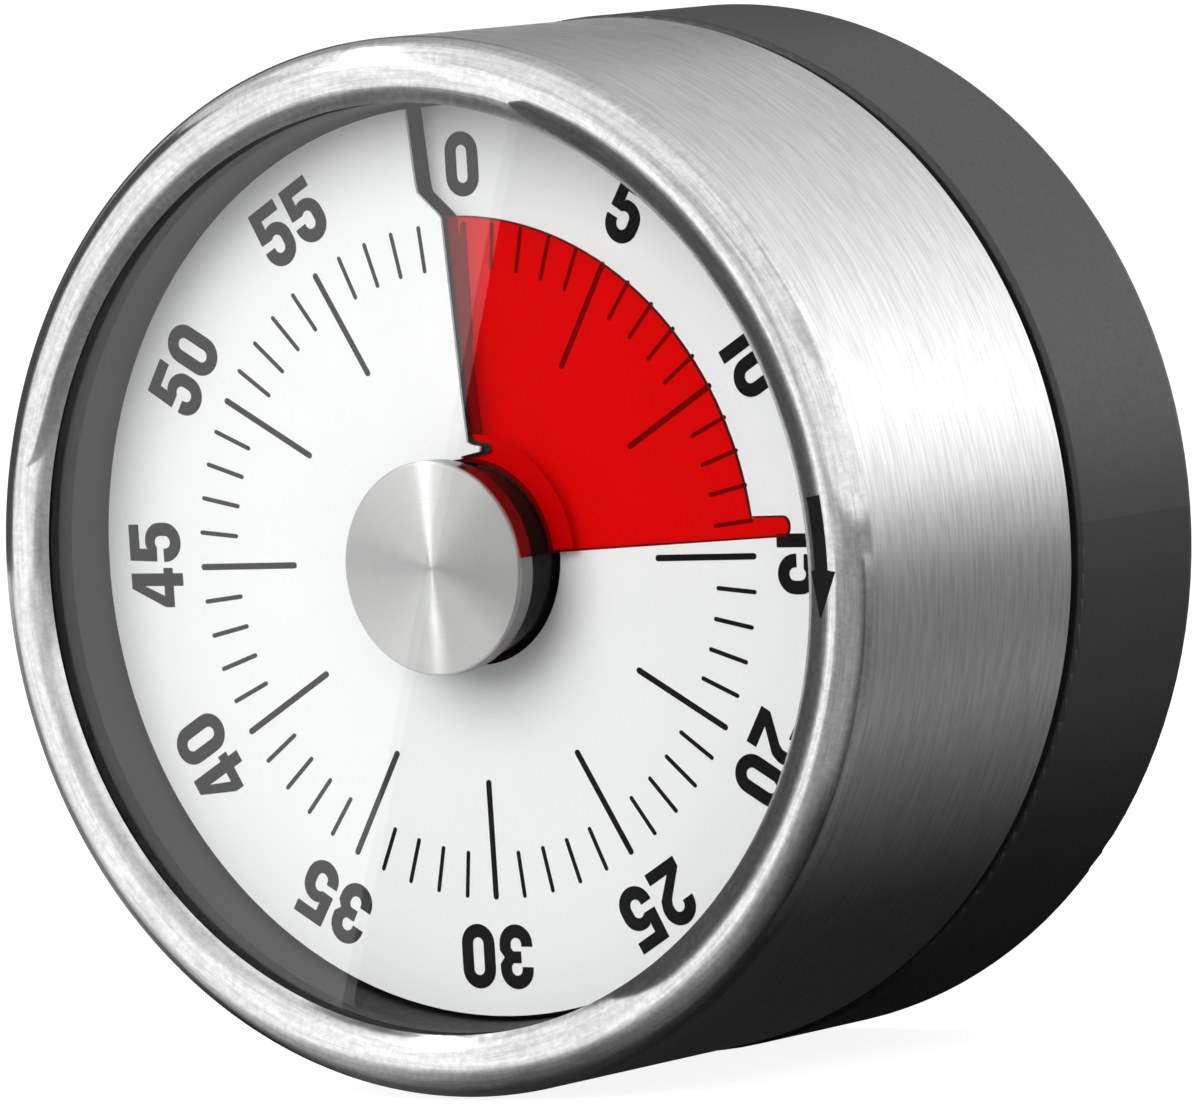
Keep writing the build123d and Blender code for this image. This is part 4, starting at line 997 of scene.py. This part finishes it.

# %% [markdown]
# The painted shade under the dial's lip is one flat black outline, down one side of the slit, round
# the nib at the hub and back. It takes its height from the red disc's climb, so it stays a hair in
# front.

# %% Painted shade under the dial's lip
STRIP_MIDDLE = 0.055
STRIP_OUTER_SIDE = [
    (-0.42, 25.9), (-0.33, 25.5), (-0.15, 25.25), (0.55, 12.0), (0.78, 9.15), (1.12, 8.86),
    (2.36, 8.66), (2.52, 8.3), (2.3, 7.98), (0.6, 7.64),
]
STRIP_UNDER_SIDE = [
    (0.3, 7.72), (0.6, 8.0), (1.9, 8.3), (0.7, 8.5), (0.25, 9.0), (0.0, 12.0), (-0.7, 25.25),
    (-0.95, 25.8),
]


def over_disc(side, up, lift):
    """A point of the strip, which hangs a hair in front of the red disc."""
    height = disc_front(clock_angle(side, up)) + STRIP_MIDDLE + lift
    return (side * MM, -height * MM, up * MM)


# painted shade: a black outline that stands in for the lip's shadow on the red disc
shade_strip_verts, shade_strip_faces = [], []
print_mark([STRIP_OUTER_SIDE + STRIP_UNDER_SIDE], over_disc, shade_strip_verts, shade_strip_faces)
mesh_piece("lip_shade_strip", shade_strip_verts, shade_strip_faces, "base", "black_inner", black_inner)

# %% [markdown]
# ## Camera
# The camera stands to the right of the face and a little above it, far back with a long lens, so
# circles stay close to true ellipses. It is turned a few degrees about its own line of sight.

# %% Camera
CAMERA_PLACE = (0.47994, -0.70095, 0.05052)
CAMERA_RIGHT = (0.81725726, 0.57195818, -0.07038758)
CAMERA_UP = (0.02220387, 0.09079883, 0.9956217)
LENS = 336.07
SENSOR = 36.0

camera_data = bpy.data.cameras.new("camera")
camera_data.lens = LENS
camera_data.sensor_width = SENSOR
camera = bpy.data.objects.new("camera", camera_data)
bpy.context.scene.collection.objects.link(camera)
right, up = Vector(CAMERA_RIGHT), Vector(CAMERA_UP)
axes = Matrix((right, up, right.cross(up))).transposed()
camera.matrix_world = Matrix.Translation(CAMERA_PLACE) @ axes.to_4x4()
bpy.context.scene.camera = camera
bpy.context.scene.view_settings.view_transform = "Standard"
print("camera at", CAMERA_PLACE, "with a lens of", LENS, "mm")

# %% [markdown]
# ## Floor and backdrop
# The floor is a wide pale sheet. To a camera it shows as plain white, and it still takes a soft
# shadow, because a share of its colour comes from the light that reaches it. A brighter lamp
# would whiten it too, but would wash out the timer's own colours.

# %% Floor
FLOOR_SIZE = 12.0
FLOOR_GLOW = 0.90
PAPER_DARK = (0.30, 0.30, 0.30)
PAPER_LIGHT = (0.33, 0.33, 0.33)
PAPER_GRAIN = 0.02
PAPER_ROUGH = 0.9
floor_level = cad_low.z


def stage_mesh(name, verts, faces, material):
    """A mesh that belongs to the studio and not to the timer."""
    mesh = bpy.data.meshes.new(name)
    mesh.from_pydata(verts, [], faces)
    mesh.materials.append(material)
    piece = bpy.data.objects.new(name, mesh)
    bpy.context.scene.collection.objects.link(piece)
    print("studio piece:", name, len(faces), "faces")
    return piece


def seen_directly(tree):
    """1 for a ray from the camera, or one that glass or metal sends on, and 0 for stray light."""
    path = tree.nodes.new("ShaderNodeLightPath")
    either = math(tree, "MAXIMUM", path.outputs["Is Camera Ray"], path.outputs["Is Glossy Ray"])
    return math(tree, "MAXIMUM", either, path.outputs["Is Transmission Ray"])


def floor_finish():
    """Pale matt paper that glows white for whoever looks straight at it."""
    material, tree, shader = new_finish("pale_floor")
    grain = noise(tree, own_space(tree), PAPER_GRAIN)
    paper = two_tones(tree, grain, PAPER_DARK, PAPER_LIGHT)
    tree.links.new(paper, shader.inputs["Base Color"])
    shader.inputs["Roughness"].default_value = PAPER_ROUGH
    shader.inputs["Specular IOR Level"].default_value = 0.0
    shader.inputs["Emission Color"].default_value = (1, 1, 1, 1)
    glow = math(tree, "MULTIPLY", seen_directly(tree), FLOOR_GLOW)
    tree.links.new(glow, shader.inputs["Emission Strength"])
    return material


half = FLOOR_SIZE / 2
floor_corners = [(-half, -half), (half, -half), (half, 3 * half), (-half, 3 * half)]
floor_verts = [(x, y, floor_level) for x, y in floor_corners]
stage_mesh("floor", floor_verts, [(0, 1, 2, 3)], floor_finish())

# %% [markdown]
# The world is the white room behind the floor. A camera, glass or metal sees it in full white,
# and it lights everything else with a smaller share, so that pale surfaces keep their tone.

# %% World
ROOM_LIGHT = 0.55

world = bpy.data.worlds.new("studio")
bpy.context.scene.world = world
world.use_nodes = True
sky = world.node_tree
sky.nodes.clear()
world_output = sky.nodes.new("ShaderNodeOutputWorld")
backdrop = sky.nodes.new("ShaderNodeBackground")
backdrop.inputs["Color"].default_value = (1, 1, 1, 1)
direct = seen_directly(sky)
room = math(sky, "ADD", math(sky, "MULTIPLY", direct, 1 - ROOM_LIGHT), ROOM_LIGHT)
sky.links.new(room, backdrop.inputs["Strength"])
sky.links.new(backdrop.outputs["Background"], world_output.inputs["Surface"])
print("the room lights the timer with", ROOM_LIGHT, "of its white")

# %% [markdown]
# ## Cards for the metal
# Metal has no colour of its own to show: it shows the room. A photographer puts white, grey and
# black cards around it, just outside the picture, to draw its shape with light and dark bands. The
# cards here show in reflections only, and leave the light on everything else alone. There are two
# kinds: the cards for the metal skip perfectly sharp reflections, which only the lens gives, and
# the cards for the lens show in nothing else. So the bands of the steel don't cross the dial. Each
# card is a grid whose glow is stored point by point, which gives soft steps from light to dark.

# %% Cards
def card_finish(name, sharp_only=False):
    """Light as strong as the glow stored on the card, for soft or for sharp reflections."""
    material, tree, surface = empty_material(name)
    light = tree.nodes.new("ShaderNodeEmission")
    glow = tree.nodes.new("ShaderNodeAttribute")
    glow.attribute_name = "glow"
    tree.links.new(glow.outputs["Fac"], light.inputs["Strength"])
    shown = tree.nodes.new("ShaderNodeLightPath").outputs["Is Singular Ray"]
    if not sharp_only:
        shown = math(tree, "SUBTRACT", 1.0, shown)
    tree.links.new(mixed(tree, shown, see_through(tree), light.outputs["Emission"]), surface)
    return material


card_light = card_finish("card_for_metal")
lens_light = card_finish("card_for_lens", sharp_only=True)


def card(name, firsts, seconds, place, glow, finish=card_light):
    """A grid card: one list of values each way, a place for each pair, and a glow for each pair."""
    pairs = [(first, second) for first in firsts for second in seconds]
    rows = len(seconds)
    faces = []
    for a in range(len(firsts) - 1):
        for b in range(rows - 1):
            corner = a * rows + b
            faces.append((corner, corner + 1, corner + rows + 1, corner + rows))
    piece = stage_mesh(name, [place(*pair) for pair in pairs], faces, finish)
    stored = piece.data.attributes.new("glow", "FLOAT", "POINT")
    stored.data.foreach_set("value", [glow(*pair) for pair in pairs])
    piece.visible_camera = False
    piece.visible_diffuse = False
    piece.visible_shadow = False


def graded(value, stops):
    """A value read from a list of (place, value) stops, in between them by even steps."""
    if value <= stops[0][0]:
        return stops[0][1]
    for (start, low_value), (end, high_value) in zip(stops, stops[1:]):
        if value <= end:
            return low_value + (high_value - low_value) * (value - start) / (end - start)
    return stops[-1][1]


# %% [markdown]
# Behind the timer, a card bent round its axis is what the drum's side mirrors. It runs from bright
# on the right to dim overhead, so the side fades from a wide bright band to grey at the top.

# %% Card round the axis
CARD_DISTANCE = 0.75
TUNNEL_TURNS = range(-4, 177, 4)
TUNNEL_DEPTHS = (0.12, 2.4)
TUNNEL_GLOW = [
    (-4, 0.5), (2, 0.85), (8, 1.42), (24, 2.2), (40, 1.78), (56, 1.36), (72, 1.2), (88, 0.92),
    (104, 0.77), (120, 0.62), (136, 0.48), (152, 0.62), (168, 0.3),
]


def round_axis(turn, depth):
    """A point round the timer's axis: 0 is to its right, 90 is above it."""
    angle = radians(turn)
    return (CARD_DISTANCE * cos(angle), depth, CARD_DISTANCE * sin(angle))


card(
    "tunnel", TUNNEL_TURNS, TUNNEL_DEPTHS, round_axis,
    lambda turn, depth: graded(turn, TUNNEL_GLOW),
)

# %% [markdown]
# In front, a wall stands round the timer. It is bright to the left of the face, which draws a white
# line on the drum's rim, and nearly black further left. To the right it is grey up to the horizon
# and white above. A flat card overhead closes the room.

# %% Wall in front
WALL_BEARINGS = range(-156, 129, 3)
WALL_GLOW = [
    (-156, 0.1), (-66, 0.1), (-60, 1.5), (-36, 1.5), (-33, 1.9), (-24, 1.7), (-12, 1.0), (0, 0.85),
    (12, 0.72), (27, 0.6), (33, 0.45), (128, 0.45),
]
SKY_GLOW = 1.5
SKY_START = 0.025
SKY_FULL = 0.055
SKY_SIDE = [(-3, 0), (9, 1)]
WALL_TOP = 0.42
OVERHEAD_SIDES = (-0.9, 0.9)
OVERHEAD_DEPTHS = (-1.0, -0.02)
OVERHEAD_HEIGHT = 0.75
OVERHEAD_GLOW = 1.4


def round_timer(bearing, height):
    """A point round the timer: 0 is straight in front of its face, 90 is to its right."""
    turn = radians(bearing)
    return (CARD_DISTANCE * sin(turn), -CARD_DISTANCE * cos(turn), height)


def wall_glow(bearing, height):
    """The wall's glow: to the right it is grey up to the horizon and white above."""
    low_glow = graded(bearing, WALL_GLOW)
    sky_share = graded(height, [(SKY_START, 0), (SKY_FULL, 1)]) * graded(bearing, SKY_SIDE)
    return low_glow + (SKY_GLOW - low_glow) * sky_share


wall_heights = (floor_level, SKY_START, SKY_FULL, WALL_TOP)
card("wall", WALL_BEARINGS, wall_heights, round_timer, wall_glow)
card(
    "overhead", OVERHEAD_SIDES, OVERHEAD_DEPTHS,
    lambda side, depth: (side, depth, OVERHEAD_HEIGHT),
    lambda side, depth: OVERHEAD_GLOW,
)

# %% [markdown]
# On the floor lies a mat. It is nearly black under the timer, so the drum fades to black below,
# and it brightens step by step to the side and in front. Ahead of the face its left part is bright
# up to a slanting edge, which the rim mirrors as the bright line along its lower half.

# %% Mat on the floor
MAT_FRONT = -44
SIDE_GLOW = [
    (30, 0.02), (38, 0.06), (50, 0.15), (70, 0.32), (110, 0.26), (320, 0.37), (700, 1.0)
]
NEAR_HALF = 39
NEAR_FALL = 40
NEAR_SHARE = [(0, 0.1), (2, 0.3), (8, 0.55), (15, 1.0)]
BRIGHT_EDGE = [(0, 3), (5, 10), (17, 17), (30, 20), (51, 19), (91, 12), (147, -5), (400, -75)]
EDGE_GLOW = [(-15, 1.6), (0, 0.5)]
SHADE_SIDES = [(22, 0), (32, 0.7), (50, 0.7), (65, 0)]
SHADE_AHEAD = [(20, 1), (45, 0)]
MAT_SIDES = (0, 5, 10, 15, 20, 25, 30, 38, 44, 50, 60, 70, 90, 110, 150, 220, 320, 500, 700)
MAT_DEPTHS = (
    -700, -500, -320, -220, -165, -125, -95, -75, -66, -59, -54, -50, -46, -44, -40, 0, 120, 2300
)
MAT_LIFT = 0.00004


def mat_glow(side, depth):
    """The mat's glow by the place beside the timer, or in front of its face."""
    if depth > MAT_FRONT:
        return graded(abs(side), SIDE_GLOW)
    ahead = MAT_FRONT - depth
    near = ahead / (1 + max(0, abs(side) - NEAR_HALF) / NEAR_FALL)
    shade = 1 - graded(side, SHADE_SIDES) * graded(ahead, SHADE_AHEAD)
    return graded(side - graded(ahead, BRIGHT_EDGE), EDGE_GLOW) * graded(near, NEAR_SHARE) * shade


mat_sides = sorted({-side for side in MAT_SIDES} | set(MAT_SIDES))
card(
    "mat", mat_sides, MAT_DEPTHS,
    lambda side, depth: (side * MM, depth * MM, floor_level + MAT_LIFT), mat_glow,
)

# %% [markdown]
# The rim's inner slope looks across the face. A small dark card that stands upright in front of
# the face keeps the slope's right side dark beside the bright line. The card's front edge follows
# the round rim, so the rest of the rim looks past it.

# %% Upright card by the face
LIP_CARD_HEIGHTS = range(-29, 34, 2)
LIP_CARD_SIDE = 10.0
LIP_CARD_START = -46.0
LIP_CARD_RING = 36.2
LIP_CARD_SLOPE = 1.2
LIP_CARD_TAPER = 0.1
LIP_CARD_SHARES = (0.0, 0.3, 0.6, 0.8, 1.0)
LIP_CARD_GLOW = [(0.6, 0.12), (0.8, 0.25), (1.0, 0.7)]


def lip_card_place(height, share):
    """A point on the card, whose front edge follows the round rim."""
    ring_side = (LIP_CARD_RING ** 2 - height ** 2) ** 0.5
    reach = LIP_CARD_SLOPE * (ring_side - LIP_CARD_SIDE) - LIP_CARD_TAPER * abs(height)
    return (LIP_CARD_SIDE * MM, (LIP_CARD_START - share * reach) * MM, height * MM)


card(
    "lip_card", LIP_CARD_HEIGHTS, LIP_CARD_SHARES, lip_card_place,
    lambda height, share: graded(share, LIP_CARD_GLOW),
)

# %% [markdown]
# A grey shelf, a little above the axis and to the left, does the same more softly for the slope's
# top and upper left. Its slanted front leaves the sight lines from the bottom of the rim free.

# %% Shelf by the face
SHELF_HEIGHT = 8.0
SHELF_FRONT = [(-38, -91), (-31, -89), (-27, -78), (-22, -72), (-18, -67)]
SHELF_REAR = -50.0
SHELF_SHARES = (0.0, 0.25, 0.5, 0.75, 1.0)
SHELF_GLOW = [(0.0, 0.5), (0.3, 0.25), (0.7, 0.18), (1.0, 0.5)]


def shelf_place(side, share):
    """A point on the shelf, from its rear to its slanted front."""
    depth = SHELF_REAR + share * (graded(side, SHELF_FRONT) - SHELF_REAR)
    return (side * MM, depth * MM, SHELF_HEIGHT * MM)


card(
    "shelf", [side for side, _ in SHELF_FRONT], SHELF_SHARES, shelf_place,
    lambda side, share: graded(share, SHELF_GLOW),
)

# %% [markdown]
# The lens mirrors what stands to the left of the camera. A black flag there keeps the right part
# of the dial clear, and its straight left edge draws the edge of the glare on the lens. Its shape
# is found backwards: a sight line is mirrored in the lens and followed until it meets the card's
# plane or the floor.

# %% Flag for the lens
FLAG_REACH = 0.13
GLARE_LINE = ((-10.9, -33.6), (11.4, 35.6))
GLARE_GLOW = 1.25
FLAG_GLOW = 0.01
FLAG_LIFT = 0.0002
UNDER_RIM = 1.0
FLAG_ROWS = 48
FLAG_COLUMNS = 12

lens_low, lens_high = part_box("lens")
lens_plane = lens_low.y
lens_radius = lens_high.x / MM - UNDER_RIM
mirrored_camera = Vector((CAMERA_PLACE[0], 2 * lens_plane - CAMERA_PLACE[1], CAMERA_PLACE[2]))


def seen_in_lens(side, up):
    """Where the mirrored sight line through a place on the lens meets the card or the floor."""
    place = Vector((side * MM, lens_plane, up * MM))
    line = place - mirrored_camera
    reach = FLAG_REACH / -line.y
    if line.z < 0:
        reach = min(reach, (floor_level + FLAG_LIFT - place.z) / line.z)
    return tuple(place + line * reach)


def lens_half_width(up):
    """Half the lens's width at a height."""
    return max(0.0, lens_radius ** 2 - up ** 2) ** 0.5


def glare_side(up):
    """Where the glare's edge crosses the lens at a height."""
    (low_side, low_up), (high_side, high_up) = GLARE_LINE
    return low_side + (high_side - low_side) * (up - low_up) / (high_up - low_up)


# %% [markdown]
# The flag fills the lens to the right of the glare's edge, and a bright card fills it to the left.
# Both are grids of rows across the lens, from one side to the other.

# %% Flag and glare card
flag_rows = [-lens_radius + 2 * lens_radius * row / FLAG_ROWS for row in range(FLAG_ROWS + 1)]
flag_shares = [column / FLAG_COLUMNS for column in range(FLAG_COLUMNS + 1)]


def flag_place(up, share):
    """A point of the flag, from the glare's edge to the lens's right side."""
    edge = min(glare_side(up), lens_half_width(up))
    return seen_in_lens(edge + (lens_half_width(up) - edge) * share, up)


def glare_place(up, share):
    """A point of the bright card, from the lens's left side to the glare's edge."""
    edge = max(glare_side(up), -lens_half_width(up))
    return seen_in_lens(-lens_half_width(up) + (edge + lens_half_width(up)) * share, up)


card("flag", flag_rows, flag_shares, flag_place, lambda up, share: FLAG_GLOW, lens_light)
card("glare_card", flag_rows, flag_shares, glare_place, lambda up, share: GLARE_GLOW, lens_light)

# %% [markdown]
# A turned face spreads light across its grooves only. At the top and bottom of the cap the grooves
# run from side to side, so the light that reaches the camera comes from a cone of directions that
# climbs over the timer. A curved strip along that cone draws a bright line through the cap's middle.

# %% Light for the cap
CAP_LIGHT_REACH = 0.70
CAP_LIGHT_TURNS = range(30, 91, 6)
CAP_LIGHT_GLOW = [(-0.035, 0.5), (-0.013, 9.0), (0.0, 50.0), (0.013, 9.0), (0.035, 0.5)]

cap_centre = Vector((0, -cap_front * MM, 0))
cap_sight = (Vector(CAMERA_PLACE) - cap_centre).normalized()


def cap_light_place(offset, turn):
    """A point on the strip: a small step to the side, and a turn up from the horizon."""
    side = offset - cap_sight.x
    rest = (1 - side ** 2) ** 0.5
    line = Vector((side, -rest * cos(radians(turn)), rest * sin(radians(turn))))
    return tuple(cap_centre + CAP_LIGHT_REACH * line)


card(
    "cap_light", [offset for offset, _ in CAP_LIGHT_GLOW], CAP_LIGHT_TURNS, cap_light_place,
    lambda offset, turn: graded(offset, CAP_LIGHT_GLOW),
)

# %% [markdown]
# ## Lamps
# Soft lamps light the paper, the plastic and the floor: a large one in front, and one above on
# the right. They are hidden from mirror-like surfaces, which have their cards.

# %% Lamps
def soft_lamp(name, place, aim, size, power):
    """A square lamp that shines on a point and that mirrors don't show."""
    lamp = bpy.data.lights.new(name, "AREA")
    lamp.shape = "SQUARE"
    lamp.size = size
    lamp.energy = power
    holder = bpy.data.objects.new(name, lamp)
    bpy.context.scene.collection.objects.link(holder)
    holder.location = place
    holder.rotation_euler = (Vector(aim) - Vector(place)).to_track_quat("-Z", "Y").to_euler()
    holder.visible_camera = False
    holder.visible_glossy = False
    print("lamp:", name, power, "W")


centre = (cad_low + cad_high) / 2
soft_lamp("front_lamp", (-0.2, -1.1, 0.6), centre, size=1.0, power=15.0)
soft_lamp("top_lamp", (0.7, 0.0, 0.9), centre, size=0.8, power=3.4)
